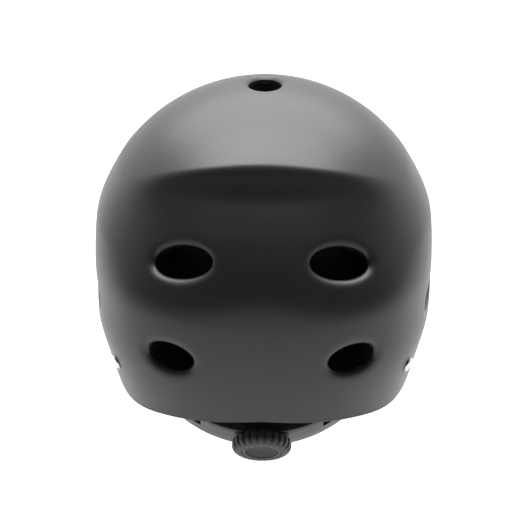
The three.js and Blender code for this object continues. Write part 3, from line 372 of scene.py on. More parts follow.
def floorPaper():
    pale = studio["floorColour"]
    material, tree, shader = newMaterial("floorPaper", 0.9, (pale, pale, pale))
    shader.inputs["Specular IOR Level"].default_value = 0.1
    shader.inputs["Emission Color"].default_value = (1, 1, 1, 1)
    coords = tree.nodes.new("ShaderNodeTexCoord")
    split = tree.nodes.new("ShaderNodeSeparateXYZ")
    tree.links.new(coords.outputs["Object"], split.inputs[0])
    glow = mapped(tree, split.outputs["Y"], *studio["floorGlow"], *studio["floorFade"])
    tree.links.new(glow, shader.inputs["Emission Strength"])
    return material


finishes = {
    "shell": shellPlastic(),
    "foam": evaFoam(),
    "pad_fabric": knitFabric(),
    "webbing": webbingWeave(),
    "steel": rivetSteel(),
    "hard_plastic": hardPlastic(),
    "knob_rubber": knobRubber(),
}
thread = stitchThread()
dialFace = hardPlastic("dialFace", (0.006, 0.006, 0.0062), (0.010, 0.010, 0.0104), 0.15)
print("materials made")


# mesh helpers
def makePiece(name, points, faces, slotName, body, uvs=None, alreadyPlaced=False, sharp=None):
    mesh = bpy.data.meshes.new(name)
    placed = points if alreadyPlaced else toFrame(points)
    mesh.from_pydata([tuple(p) for p in placed], [], [tuple(f) for f in faces])
    mesh.update()
    if uvs is not None:
        layer = mesh.uv_layers.new(name="UVMap")
        loops = np.empty(len(mesh.loops), dtype=np.int64)
        mesh.loops.foreach_get("vertex_index", loops)
        layer.data.foreach_set("uv", np.asarray(uvs, np.float32)[loops].ravel())
    tidyNormals(mesh)
    mesh.polygons.foreach_set("use_smooth", [True] * len(mesh.polygons))
    if sharp:
        mesh.set_sharp_from_angle(angle=math.radians(sharp))
    piece = bpy.data.objects.new(name, mesh)
    bpy.context.collection.objects.link(piece)
    mesh.materials.append(finishes[slotName] if slotName in finishes else thread)
    if body:
        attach(piece, body)
    return piece


def tidyNormals(mesh):
    work = bmesh.new()
    work.from_mesh(mesh)
    bmesh.ops.recalc_face_normals(work, faces=work.faces)
    work.to_mesh(mesh)
    work.free()


def closedLoft(rings, capStart=True, capEnd=True, closed=False):
    # rings of equal count become one skin; the ends get a fan each
    count = len(rings[0])
    points = [p for ring in rings for p in ring]
    faces = []
    spans = len(rings) if closed else len(rings) - 1
    for i in range(spans):
        here, there = i * count, ((i + 1) % len(rings)) * count
        for j in range(count):
            k = (j + 1) % count
            faces.append((here + j, here + k, there + k, there + j))
    if not closed:
        if capStart:
            faces.append(tuple(range(count - 1, -1, -1)))
        if capEnd:
            faces.append(tuple(range(len(points) - count, len(points))))
    return points, faces


def hermite(rows, at):
    # smooth curve through [position, value] rows
    rows = sorted(rows)
    xs = np.array([r[0] for r in rows], float)
    ys = np.array([r[1] for r in rows], float)
    slopes = np.empty_like(ys)
    last = len(xs) - 1
    for k in range(last + 1):
        a, b = max(0, k - 1), min(last, k + 1)
        slopes[k] = (ys[b] - ys[a]) / (xs[b] - xs[a])
    at = np.clip(np.asarray(at, float), xs[0], xs[-1])
    i = np.clip(np.searchsorted(xs, at, side="right") - 1, 0, last - 1)
    h = xs[i + 1] - xs[i]
    t = (at - xs[i]) / h
    t2, t3 = t * t, t * t * t
    return ((2 * t3 - 3 * t2 + 1) * ys[i] + (t3 - 2 * t2 + t) * h * slopes[i]
            + (3 * t2 - 2 * t3) * ys[i + 1] + (t3 - t2) * h * slopes[i + 1])


def smoothStep(low, high, value):
    u = np.clip((value - low) / (high - low), 0, 1)
    return u * u * (3 - 2 * u)


def unit(v):
    v = np.asarray(v, float)
    return v / np.linalg.norm(v, axis=-1, keepdims=True)


# the shell's own surface
shellShape = {
    "wall": 3.0,
    "halfWidth": 108.5, "frontReach": 137.0,
    "domeWidth": 112.0, "domeLength": 143.0,
    "upperNarrowing": 13.5,
    "leanFrom": -30.0, "leanAngle": 14.5,
    "brimFlare": 5.0,
    "creaseRound": 4.0,
    "rear": [(100, 66), (88, 70.5), (77, 74.3), (71, 77.6), (62, 86), (50, 96.5), (34, 107.3),
             (14, 115.3), (-15, 118), (-42, 116), (-75, 108)],
    "rim": [(0, -24), (35, -23), (60, -34), (82, -52), (104, -68), (128, -76.5), (150, -71.5), (180, -67.5)],
}
linerShape = {
    "halfWidth": 87.0, "halfLength": 107.0, "height": 84.0, "y": 10.0, "z": -5.0,
    "flare": 0.08, "roundness": 2.3, "rimLift": 5.0, "behind": 2.26,
}


def shellParts(p):
    # the domed top and the side wall, each as a distance outwards
    s = shellShape
    x, y, z = p[..., 0], p[..., 1], p[..., 2]
    up = np.maximum(0, z) / domeHeight
    dome = (np.sqrt((x / s["domeWidth"]) ** 2 + (y / s["domeLength"]) ** 2 + up ** 2) - 1) * s["domeWidth"]
    below = s["leanFrom"] - z
    lean = np.where(below > 10, below, np.where(below > -10, (below + 10) ** 2 / 40, 0))
    side = s["halfWidth"] - s["upperNarrowing"] * smoothStep(25, 63, z)
    side = side - math.tan(math.radians(s["leanAngle"])) * lean
    reach = np.where(y < 0, hermite(s["rear"], z), s["frontReach"] + s["brimFlare"] * smoothStep(0, -26, z))
    power = 2 + 0.6 * smoothStep(38, 2, z)
    wall = ((np.abs(x / side) ** power + np.abs(y / reach) ** power) ** (1 / power) - 1) * side
    return dome, wall


def shellField(p):
    dome, wall = shellParts(p)
    k = shellShape["creaseRound"]
    h = np.maximum(k - np.abs(dome - wall), 0) / k
    return np.maximum(dome, wall) + h * h * k / 4


def cavityField(p):
    c = linerShape
    x, y, z = p[..., 0], p[..., 1], p[..., 2]
    down, up = np.maximum(0, c["z"] - z), np.maximum(0, z - c["z"])
    a, b = c["halfWidth"] + c["flare"] * down, c["halfLength"] + c["flare"] * down
    n = c["roundness"]
    flat = (np.abs(x / a) ** n + np.abs((y - c["y"]) / b) ** n) ** (1 / n)
    return (np.sqrt(flat ** 2 + (up / c["height"]) ** 2) - 1) * a


def meet(field, start, along, reach=260.0, near=0.0):
    start, along = np.asarray(start, float), np.asarray(along, float)
    shape = np.broadcast(start[..., 0], along[..., 0]).shape
    low, high = np.full(shape, near), np.full(shape, reach)
    for _ in range(34):
        middle = (low + high) / 2
        inside = field(start + along * middle[..., None]) < 0
        low, high = np.where(inside, middle, low), np.where(inside, high, middle)
    return start + along * low[..., None]


def outward(field, p):
    e = 0.2
    steps = np.eye(3) * e
    return unit(np.stack([field(p + s) - field(p - s) for s in steps], axis=-1))


def directions(roundAngle, down):
    across = np.sin(down)
    return np.stack([np.cos(roundAngle) * across, np.sin(roundAngle) * across, np.cos(down)], axis=-1)


def surfacePoint(field, roundAngle, down, inset=0.0):
    p = meet(field, np.zeros(3), directions(roundAngle, down))
    return p - outward(field, p) * inset if inset else p


def downTo(field, roundAngle, height):
    low, high = np.full(roundAngle.shape, math.radians(40)), np.full(roundAngle.shape, math.radians(165))
    for _ in range(28):
        middle = (low + high) / 2
        above = surfacePoint(field, roundAngle, middle)[..., 2] > height
        low, high = np.where(above, middle, low), np.where(above, high, middle)
    return low


def rimHeight(roundAngle):
    turned = np.abs((np.degrees(roundAngle) - 90 + 540) % 360 - 180)
    return hermite(shellShape["rim"], turned)


def planOf(points):
    # where a point shows on a round map of the surface, with the crown in the middle
    p = np.asarray(points, float)
    down = np.arctan2(np.hypot(p[..., 0], p[..., 1]), p[..., 2])
    turn = np.arctan2(p[..., 1], p[..., 0])
    return np.stack([down * np.cos(turn), down * np.sin(turn)], axis=-1)


def fromPlan(uv):
    return np.arctan2(uv[..., 1], uv[..., 0]), np.hypot(uv[..., 0], uv[..., 1])


# vents
vents = [
    {"from": (0, 38, 0), "along": (0, 0, 1), "long": 40, "short": 22, "turn": 90},
]
for side in (1, -1):
    vents += [
        {"from": (side * 49, 0, 37), "along": (0, -1, 0), "long": 40, "short": 21, "turn": -12 * side},
        {"from": (side * 57, 0, -23), "along": (0, -1, 0), "long": 32, "short": 20, "turn": 4 * side},
        {"from": (0, -30, -18), "along": (side, 0, 0), "long": 36, "short": 18, "turn": 0},
        {"from": (side * 40, 0, 56), "along": (0, 1, 0), "long": 40, "short": 21, "turn": -14 * side},
        {"from": (side * 50, 0, 12), "along": (0, 1, 0), "long": 34, "short": 19, "turn": 8 * side},
    ]
ventEdge = {"round": 0.9, "dishWidth": 6.5, "dishDepth": 2.3, "foamGrow": 1.5, "around": 72}


def ventAxes(vent):
    at = meet(shellField, np.array(vent["from"], float), np.array(vent["along"], float))
    normal = outward(shellField, at)
    level = np.array([1.0, 0, 0]) if abs(vent["along"][2]) > 0.5 else np.cross([0, 0, 1.0], normal)
    level = unit(level - normal * (level @ normal))
    a = math.radians(vent["turn"])
    across = np.cross(normal, level)
    return at, level * math.cos(a) + across * math.sin(a), across * math.cos(a) - level * math.sin(a), normal


for vent in vents:
    vent["at"], vent["x"], vent["y"], vent["normal"] = ventAxes(vent)


def ovalAt(vent, grow, around=None):
    # points grow outside the hole's edge, on the vent's own flat
    t = np.linspace(0, 2 * math.pi, around or ventEdge["around"], endpoint=False)
    a, b = vent["long"] / 2, vent["short"] / 2
    edge = np.stack([a * np.cos(t), b * np.sin(t)], -1)
    out = unit(np.stack([np.cos(t) / a, np.sin(t) / b], -1))
    local = edge + out * grow
    return vent["at"] + local[:, :1] * vent["x"] + local[:, 1:] * vent["y"]


def ontoField(vent, points, field, back=70.0):
    return meet(field, points - vent["normal"] * back, vent["normal"], reach=back + 30)


def fromVent(vent, points):
    # rough distance outside the vent's edge, measured on its own flat
    d = points - vent["at"]
    x, y = d @ vent["x"], d @ vent["y"]
    a, b = vent["long"] / 2, vent["short"] / 2
    r = np.hypot(x / a, y / b)
    radial = np.hypot(x, y)
    distance = radial * (1 - 1 / np.maximum(r, 1e-6))
    return np.where(np.abs(d @ vent["normal"]) < 32, distance, 1e3)


def dishSink(points):
    sink = np.zeros(len(points))
    for vent in vents:
        s = np.maximum(0, fromVent(vent, points))
        near = s < ventEdge["dishWidth"]
        depth = ventEdge["dishDepth"] * (1 - s / ventEdge["dishWidth"]) ** 2
        sink = np.where(near, np.maximum(sink, depth), sink)
    return sink


def insideLoop(points, loop):
    # even and odd crossings of a closed outline
    x, y = points[:, 0], points[:, 1]
    inside = np.zeros(len(points), bool)
    for (x0, y0), (x1, y1) in zip(loop, np.roll(loop, -1, axis=0)):
        if y0 == y1:
            continue
        crosses = (y0 > y) != (y1 > y)
        inside ^= crosses & (x < (x1 - x0) * (y - y0) / (y1 - y0) + x0)
    return inside


def mapSheet(field, loops, rimLoop, spacing, denser=None, ringSets=()):
    # a triangle net over the round map between the rim and the vents' edges
    reach = np.abs(rimLoop).max() + spacing
    rowStep = spacing * math.sqrt(3) / 2
    finer = 1 if denser is None else 3
    grid, isCoarse = [], []
    for j, v in enumerate(np.arange(-reach, reach, rowStep / finer)):
        for i, u in enumerate(np.arange(-reach + (j % 2) * spacing / (2 * finer), reach, spacing / finer)):
            grid.append((u, v))
            isCoarse.append(j % finer == 0 and (i - j % 2) % finer == 0)
    grid, isCoarse = np.array(grid), np.array(isCoarse)
    if denser is not None:
        turn, down = fromPlan(grid)
        grid = grid[isCoarse | denser(surfacePoint(field, turn, down))]
    inner = rimLoop * (1 - 0.6 * spacing / np.linalg.norm(rimLoop, axis=1, keepdims=True))
    grid = grid[insideLoop(grid, inner)]
    for outline in [loop for loop, _ in ringSets] or loops:
        middle = outline.mean(axis=0)
        grid = grid[~insideLoop(grid, middle + (outline - middle) * 1.06)]
    extra = [ring for _, rings in ringSets for ring in rings]
    blocks = list(loops) + [rimLoop] + extra + [grid]
    points = np.concatenate(blocks)
    edges, start, spans = [], 0, []
    for block in blocks[: len(loops) + 1]:
        n = len(block)
        edges += [(start + i, start + (i + 1) % n) for i in range(n)]
        spans.append((start, n))
        start += n
    result = delaunay_2d_cdt([Vector(p) for p in points], edges, [], 0, 1e-7)
    flat = np.array([tuple(p) for p in result[0]])
    back = {}
    for new, old in enumerate(result[3]):
        for o in old:
            back[o] = new
    faces = np.array([f for f in result[2] if len(f) == 3])
    centres = flat[faces].mean(axis=1)
    keep = insideLoop(centres, rimLoop)
    for loop in loops:
        keep &= ~insideLoop(centres, loop)
    faces = faces[keep]
    loopIds = [[back[s + i] for i in range(n)] for s, n in spans]
    return flat, faces, loopIds


def bridge(faces, first, second):
    n = len(first)
    for i in range(n):
        faces.append((first[i], first[(i + 1) % n], second[(i + 1) % n], second[i]))


# outer shell
shellMesh = {"spacing": 0.029, "rimAround": 300}


def nearCrease(p):
    dome, wall = shellParts(p)
    return (np.abs(dome - wall) < 5) & (p[:, 1] < 12) & (p[:, 2] > 25)


def buildShell():
    wall, edge = shellShape["wall"], ventEdge["round"]
    loops, ringSets = [], []
    for vent in vents:
        place = lambda grow: planOf(ontoField(vent, ovalAt(vent, grow), shellField))
        loops.append(place(edge))
        ringSets.append((place(9.0), [place(g) for g in (1.6, 2.5, 3.6, 4.9, 6.4, 8.2)]))
    turn = np.linspace(0, 2 * math.pi, shellMesh["rimAround"], endpoint=False)
    down = downTo(shellField, turn, rimHeight(turn) + edge)
    rimLoop = np.stack([down * np.cos(turn), down * np.sin(turn)], -1)
    flat, faces, loopIds = mapSheet(shellField, loops, rimLoop, shellMesh["spacing"], nearCrease, ringSets)
    turnAt, downAt = fromPlan(flat)
    outer = surfacePoint(shellField, turnAt, downAt)
    normals = outward(shellField, outer)
    outer = outer - normals * dishSink(outer)[:, None]
    inner = outer - normals * wall
    count = len(outer)
    points = list(outer) + list(inner)
    allFaces = [tuple(f) for f in faces] + [tuple(f[::-1] + count) for f in faces]
    # rolled edges of the vents
    quarter = (22.5, 45, 67.5, 90)
    steps = [(math.radians(a), 0) for a in quarter] + [(math.radians(a), 1) for a in quarter[::-1]]
    for vent, ids in zip(vents, loopIds[:-1]):
        previous = ids
        for angle, side in steps:
            grow = edge * (1 - math.sin(angle))
            depth = edge * (1 - math.cos(angle))
            base = ontoField(vent, ovalAt(vent, grow), shellField)
            n = outward(shellField, base)
            total = ventEdge["dishDepth"] + (depth if side == 0 else wall - depth)
            start = len(points)
            points += list(base - n * total)
            current = list(range(start, start + len(ids)))
            bridge(allFaces, previous, current)
            previous = current
        bridge(allFaces, previous, [i + count for i in ids])
    # rolled lower edge
    previous = loopIds[-1]
    rimOuter = outer[previous]
    rimNormal = normals[previous]
    for angle, side in steps:
        drop = edge * math.sin(angle)
        depth = edge * (1 - math.cos(angle))
        base = rimOuter - np.array([0, 0, 1.0]) * drop - rimNormal * (depth if side == 0 else wall - depth)
        start = len(points)
        points += list(base)
        current = list(range(start, start + len(previous)))
        bridge(allFaces, previous, current)
        previous = current
    bridge(allFaces, previous, [i + count for i in loopIds[-1]])
    piece = makePiece("shellSkin", points, allFaces, "shell", "helmet")
    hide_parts("outer_shell")
    print("shell skin:", len(allFaces), "faces")
    return piece


buildShell()

# straps' lines, used by the foam's channels too
strapSize = {"width": 20.0, "thickness": 1.6, "inset": 3.0, "pastRivet": 9.0}
dividerSize = {"x": 70.5, "y": -2.0, "z": -95.0, "top": 27.0, "thickness": 6.6, "strapStop": 15.5, "strapStart": 2.0}
chinLoop = {"slope": 41.0, "depth": 92.0, "straightX": 53.5, "straightDepth": 66.0}
rivetSpots = {"rear": (-68.0, -49.5), "front": (55.0, -16.0)}
cradleShape = {"radius": 77.0, "y": -18.7, "z": -49.0, "slope": 36.5}

loopSlope = math.radians(chinLoop["slope"])
loopDown = np.array([0, math.cos(loopSlope), -math.sin(loopSlope)])
straightAngle = math.atan2(dividerSize["x"] - chinLoop["straightX"], chinLoop["straightDepth"])


def dividerAt(side):
    return np.array([side * dividerSize["x"], dividerSize["y"], dividerSize["z"]])


def sideAxes(side):
    # along the chin strap, across its width, and outwards
    along = np.array([-side * math.sin(straightAngle), 0, 0]) + loopDown * math.cos(straightAngle)
    out = np.array([side * math.cos(straightAngle), 0, 0]) + loopDown * math.sin(straightAngle)
    return along, np.cross(out, along), out


def rivetSpot(end, side):
    y, z = rivetSpots[end]
    at = meet(shellField, np.array([0, y, z]), np.array([float(side), 0, 0]))
    return at, outward(shellField, at)


def vStrapRows(end, side):
    at, _ = rivetSpot(end, side)
    target = dividerAt(side)
    along, _, out = sideAxes(side)
    way = target - at
    way[0] = 0
    way = unit(way)
    rows = []
    toEdge = 22 if end == "rear" else 18
    for d in (-strapSize["pastRivet"], 0, toEdge / 2, toEdge):
        y, z = at[1] + way[1] * d, at[2] + way[2] * d
        spot = meet(shellField, np.array([0, y, z]), np.array([float(side), 0, 0]))
        n = outward(shellField, spot)
        rows.append((spot - n * (shellShape["wall"] + strapSize["inset"]), n))
    free, freeN = rows[-1]
    inPlate = free - target
    inPlate = unit(inPlate - out * (inPlate @ out))
    entry = target + inPlate * (dividerSize["top"] + 7)
    for t in (0.33, 0.67, 1.0):
        rows.append((free + (entry - free) * t, unit(freeN + (out - freeN) * t)))
    rows.append((target + inPlate * dividerSize["strapStop"], out))
    return rows


# foam liner
foamMesh = {"spacing": 0.034, "skinSpacing": 0.05, "rimAround": 240, "lipRound": 2.5}


def strapChannel(points):
    # how deep the straps' channels run under the foam's outer skin
    sink = np.zeros(len(points))
    for end in ("front", "rear"):
        for side in (-1, 1):
            rows = [r[0] for r in vStrapRows(end, side)[:4]]
            rows = [rows[0] + (rows[0] - rows[1]) * 0.4] + rows + [rows[-1] + (rows[-1] - rows[-2]) * 2]
            for a, b in zip(rows[:-1], rows[1:]):
                d = b - a
                t = np.clip(((points - a) @ d) / (d @ d), 0, 1)
                away = np.linalg.norm(points - (a + t[:, None] * d), axis=1)
                sink = np.maximum(sink, 6.5 * (1 - smoothStep(12.5, 15.0, away)))
    return sink


def anchorPocket(points):
    away = np.hypot(points[:, 1] - cradleShape["y"], points[:, 2] - cradleShape["z"])
    return 3.2 * (1 - smoothStep(11.2, 12.4, away)) * (np.abs(points[:, 0]) > 60)


def buildFoam():
    grow = ventEdge["foamGrow"]
    turn = np.linspace(0, 2 * math.pi, foamMesh["rimAround"], endpoint=False)
    sheets = []
    for field, spacing in ((shellField, foamMesh["skinSpacing"]), (cavityField, foamMesh["spacing"])):
        loops = [planOf(ontoField(v, ovalAt(v, grow, 48), field)) for v in vents]
        lift = linerShape["rimLift"] + (foamMesh["lipRound"] if field is cavityField else 0)
        down = downTo(field, turn, rimHeight(turn) + lift)
        rimLoop = np.stack([down * np.cos(turn), down * np.sin(turn)], -1)
        near = (lambda p: (anchorPocket(p) > 0) & (anchorPocket(p) < 3.2)) if field is cavityField else None
        flat, faces, ids = mapSheet(field, loops, rimLoop, spacing, near)
        turnAt, downAt = fromPlan(flat)
        place = surfacePoint(field, turnAt, downAt)
        n = outward(field, place)
        if field is shellField:
            place = place - n * (shellShape["wall"] + linerShape["behind"])
            place = place - n * strapChannel(place)[:, None]
        else:
            place = place + n * anchorPocket(place)[:, None]
        sheets.append((place, faces, ids, n))
    (skin, skinFaces, skinIds, _), (cave, caveFaces, caveIds, caveN) = sheets
    offset = len(skin)
    points = list(skin) + list(cave)
    faces = [tuple(f) for f in skinFaces] + [tuple(f[::-1] + offset) for f in caveFaces]
    for a, b in zip(skinIds[:-1], caveIds[:-1]):
        # each channel's wall, with a softened inner edge
        top, low = skin[a], cave[b]
        previous = a
        for share in (0.33, 0.66, 0.94):
            start = len(points)
            points += list(top + (low - top) * share)
            current = list(range(start, start + len(a)))
            bridge(faces, previous, current)
            previous = current
        bridge(faces, previous, [i + offset for i in b])
    a, b = skinIds[-1], [i + offset for i in caveIds[-1]]
    previous = a
    r = foamMesh["lipRound"]
    lowEdge = skin[a]
    caveEdge, caveOut = cave[caveIds[-1]], caveN[caveIds[-1]]
    target = caveEdge + caveOut * r - np.array([0, 0, r])
    for share in (0.35, 0.7, 1.0):
        start = len(points)
        points += list(lowEdge + (target - lowEdge) * share)
        current = list(range(start, start + len(a)))
        bridge(faces, previous, current)
        previous = current
    for angle in (30, 60):
        c, s = math.cos(math.radians(angle)), math.sin(math.radians(angle))
        start = len(points)
        points += list(caveEdge + caveOut * r * (1 - s) - np.array([0, 0, r * c]))
        current = list(range(start, start + len(a)))
        bridge(faces, previous, current)
        previous = current
    bridge(faces, previous, b)
    piece = makePiece("foamLiner", points, faces, "foam", "helmet", sharp=40)
    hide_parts("foam_liner")
    print("foam liner:", len(faces), "faces")


buildFoam()

# Pads: a patch of the cavity's wall or of the cradle, puffed up by a short cloth run.
pads = {
    "behind": 1.5, "thickness": 7.3, "seamDepth": 3.4, "cornerRound": 0.42, "shrink": 0.982,
    "pressure": 3.0, "mayMove": 1.3, "frames": 16,
    "piping": 0.8, "channelDepth": 1.7, "channelWidth": 2.0,
}


def puffUp(piece, held):
    group = piece.vertex_groups.new(name="held")
    group.add(held, 1.0, "REPLACE")
    before = np.array([v.co for v in piece.data.vertices])
    cloth = piece.modifiers.new("cloth", "CLOTH")
    settings = cloth.settings
    settings.quality = 4
    settings.mass = 0.05
    settings.use_pressure = True
    settings.uniform_pressure_force = pads["pressure"]
    settings.tension_stiffness = settings.compression_stiffness = 8
    settings.shear_stiffness = 4
    settings.bending_stiffness = 0.05
    settings.effector_weights.gravity = 0
    settings.vertex_group_mass = "held"
    cloth.point_cache.frame_end = pads["frames"] + 2
    scene = bpy.context.scene
    for frameNumber in range(1, pads["frames"] + 1):
        scene.frame_set(frameNumber)
    shown = piece.evaluated_get(bpy.context.evaluated_depsgraph_get())
    after = np.array([v.co for v in shown.data.vertices])
    piece.modifiers.remove(cloth)
    scene.frame_set(1)
    moved = after - before
    far = np.linalg.norm(moved, axis=1, keepdims=True)
    limit = pads["mayMove"] / 1000
    after = before + moved * np.minimum(1, limit / np.maximum(far, 1e-9))
    piece.data.vertices.foreach_set("co", after.ravel())
    piece.data.update()


def smoothed(piece, levels):
    piece.modifiers.new("smooth", "SUBSURF").levels = levels
    piece.modifiers["smooth"].render_levels = levels
    finer = bpy.data.meshes.new_from_object(piece.evaluated_get(bpy.context.evaluated_depsgraph_get()))
    piece.modifiers.clear()
    piece.data = finer


def addSolids(piece, points, faces, slotName=None):
    # more closed shapes in the same mesh, placed in the row's own frame
    mesh = piece.data
    work = bmesh.new()
    work.from_mesh(mesh)
    made = [work.verts.new(p) for p in points]
    index = len(mesh.materials)
    if slotName:
        mesh.materials.append(finishes.get(slotName, thread))
    for face in faces:
        try:
            new = work.faces.new([made[i] for i in face])
        except ValueError:
            continue
        new.smooth = True
        if slotName:
            new.material_index = index
    work.to_mesh(mesh)
    work.free()


def tubeAlong(line, radius, sides=8, closed=True):
    line = np.asarray(line)
    count = len(line)
    rings = []
    for i in range(count):
        if closed:
            before, after = line[i - 1], line[(i + 1) % count]
        else:
            before, after = line[max(0, i - 1)], line[min(count - 1, i + 1)]
        along = unit(after - before)
        side = unit(np.cross(along, [0.31, 0.52, 0.79]))
        up = np.cross(side, along)
        turn = np.linspace(0, 2 * math.pi, sides, endpoint=False)
        rings.append(list(line[i] + radius * (np.cos(turn)[:, None] * side + np.sin(turn)[:, None] * up)))
    return closedLoft(rings, closed=closed)


def cushion(name, node, pointAt, across, down, body="helmet", channels=()):
    # pointAt takes s and t from -1 to 1 and how far the sheet stands in from the wall, in millimetres
    s, t = np.meshgrid(np.linspace(-1, 1, across + 1), np.linspace(-1, 1, down + 1), indexing="ij")
    c = pads["cornerRound"]
    flatS = s * np.sqrt(1 - c * t * t / 2) * pads["shrink"]
    flatT = t * np.sqrt(1 - c * s * s / 2) * pads["shrink"]
    edge = np.maximum(np.abs(s), np.abs(t))
    face = pads["seamDepth"] + (pads["thickness"] - pads["seamDepth"]) * np.sqrt(np.maximum(0, 1 - edge ** 4))
    back = pads["seamDepth"] - (pads["seamDepth"] - pads["behind"]) * np.sqrt(np.maximum(0, 1 - edge ** 8))
    front, rear = pointAt(flatS, flatT, face), pointAt(flatS, flatT, back)
    onEdge = edge > 1 - 1e-9
    points, uvs = list(front.reshape(-1, 3)), list(np.stack([s, t], -1).reshape(-1, 2))
    frontId = np.arange((across + 1) * (down + 1)).reshape(across + 1, down + 1)
    rearId = frontId.copy()
    for i in range(across + 1):
        for j in range(down + 1):
            if not onEdge[i, j]:
                rearId[i, j] = len(points)
                points.append(rear[i, j])
                uvs.append((3.0, 3.0))
    faces = []
    for i in range(across):
        for j in range(down):
            faces.append((frontId[i, j], frontId[i + 1, j], frontId[i + 1, j + 1], frontId[i, j + 1]))
            faces.append((rearId[i, j], rearId[i, j + 1], rearId[i + 1, j + 1], rearId[i + 1, j]))
    piece = makePiece(name, points, faces, "pad_fabric", body, uvs=uvs)
    held = [int(k) for k in np.unique(np.concatenate([rearId.ravel(), frontId[onEdge]]))]
    puffUp(piece, held)
    rimIds = [frontId[i, 0] for i in range(across)] + [frontId[across, j] for j in range(down)]
    rimIds += [frontId[i, down] for i in range(across, 0, -1)] + [frontId[0, j] for j in range(down, 0, -1)]
    rim = np.array([piece.data.vertices[int(k)].co for k in rimIds])
    smoothed(piece, 2)
    if channels:
        sewChannels(piece, channels)
    fine = []
    for a, b, c2, d in zip(np.roll(rim, 1, 0), rim, np.roll(rim, -1, 0), np.roll(rim, -2, 0)):
        for u in (0.0, 0.5):
            second, third = 2 * a - 5 * b + 4 * c2 - d, 3 * b - a - 3 * c2 + d
            fine.append(0.5 * (2 * b + (c2 - a) * u + second * u * u + third * u ** 3))
    addSolids(piece, *tubeAlong(fine, pads["piping"] / 1000), slotName="webbing")
    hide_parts(node)
    return piece


def sewChannels(piece, channels):
    # each channel is a line of constant s on the face, between two values of t
    mesh = piece.data
    count = len(mesh.vertices)
    place = np.full((count, 2), 9.0)
    layer = mesh.uv_layers.active.data
    for loop in mesh.loops:
        uv = layer[loop.index].uv
        if uv[0] < 1.5:
            place[loop.vertex_index] = uv
    normals = np.array([v.normal for v in mesh.vertices])
    points = np.array([v.co for v in mesh.vertices])
    within = points[np.abs(place[:, 0]) < 1.1]
    span = np.linalg.norm(within.max(0) - within.min(0)) * 500
    press = np.zeros(count)
    for at, low, high in channels:
        inside = smoothStep(low, low + 0.12, place[:, 1]) * (1 - smoothStep(high - 0.12, high, place[:, 1]))
        away = np.abs(place[:, 0] - at) * span
        press = np.maximum(press, inside * np.exp(-(away / pads["channelWidth"]) ** 2))
    points -= normals * press[:, None] * pads["channelDepth"] / 1000
    mesh.vertices.foreach_set("co", points.ravel())
    mesh.update()


def wallPatch(roundFrom, roundTo, highAt, lowAt):
    middle, half = math.radians(roundFrom + roundTo) / 2, math.radians(roundTo - roundFrom) / 2

    def pointAt(s, t, inset):
        turn = middle + half * s
        high = downTo(cavityField, turn, highAt(turn))
        low = downTo(cavityField, turn, lowAt(turn))
        down = high + (low - high) * (t + 1) / 2
        p = meet(cavityField, np.zeros(3), directions(turn, down))
        return p - outward(cavityField, p) * inset[..., None]

    return pointAt


def crownPatch(s, t, inset):
    x, y = s * 31 * 0.93, crownPadY + t * 26 * 0.93
    start = np.stack([x, y, np.zeros_like(x)], -1)
    top = meet(cavityField, start, np.array([0, 0, 1.0]))
    top = top - outward(cavityField, top) * pads["behind"]
    return top - np.array([0, 0, 1.0]) * (inset - pads["behind"])[..., None] * 1.12


def buildPads():
    level = lambda value: (lambda turn: np.full(np.shape(turn), float(value)))
    aboveRim = lambda lift: (lambda turn: rimHeight(turn) + lift)
    three = [(-0.5, -0.8, 0.8), (0.0, -0.8, 0.8), (0.5, -0.8, 0.8)]
    two = [(-0.34, -0.75, 0.75), (0.34, -0.75, 0.75)]
    cushion("browCushion", "brow_pad", wallPatch(38, 142, level(4), aboveRim(6)), 40, 8, channels=three)
    cushion("rearCushion", "rear_pad", wallPatch(-138, -42, level(-20), aboveRim(7)), 36, 12, channels=three)
    cushion("rearUpperCushionRight", "rear_upper_pad_right", wallPatch(-78, -34, level(54), level(8)), 16, 14)
    cushion("rearUpperCushionLeft", "rear_upper_pad_left", wallPatch(-146, -102, level(54), level(8)), 16, 14)
    cushion("sideCushionRight", "side_pad_right", wallPatch(-2, 34, level(26), level(-14)), 14, 10)
    cushion("sideCushionLeft", "side_pad_left", wallPatch(146, 182, level(26), level(-14)), 14, 10)
    cushion("crownCushion", "crown_pad", crownPatch, 14, 12, channels=two)
    print("pads puffed")


buildPads()


# Rivets and washers
rivetShape = {
    "headRadius": 4.75, "headHeight": 1.7, "lift": 0.3,
    "shank": 2.5, "tailRadius": 3.7, "tail": 1.2,
}
washerShape = {"radius": 6.0, "thickness": 1.0, "hole": 2.85}
washerTop = -(shellShape["wall"] + strapSize["inset"] + strapSize["thickness"] / 2 + 0.55)


def latheShape(profile, around=48, closed=False):
    # profile rows are (radius, height); a row of no radius becomes one point
    turn = np.linspace(0, 2 * math.pi, around, endpoint=False)
    points, rings = [], []
    for radius, height in profile:
        if radius < 1e-6:
            rings.append([len(points)])
            points.append((0.0, 0.0, height))
            continue
        rings.append(list(range(len(points), len(points) + around)))
        points += [(radius * math.cos(a), radius * math.sin(a), height) for a in turn]
    faces = []
    pairs = list(zip(rings[:-1], rings[1:])) + ([(rings[-1], rings[0])] if closed else [])
    for low, high in pairs:
        for i in range(around):
            k = (i + 1) % around
            corners = [low[i % len(low)], low[k % len(low)], high[k % len(high)], high[i % len(high)]]
            face = [c for n, c in enumerate(corners) if c not in corners[:n]]
            if len(face) > 2:
                faces.append(tuple(face))
    return np.array(points), faces


def standAt(points, origin, xAxis, zAxis):
    z = unit(zAxis)
    x = unit(np.asarray(xAxis) - z * (np.asarray(xAxis) @ z))
    y = np.cross(z, x)
    points = np.asarray(points)
    return origin + points[:, :1] * x + points[:, 1:2] * y + points[:, 2:] * z


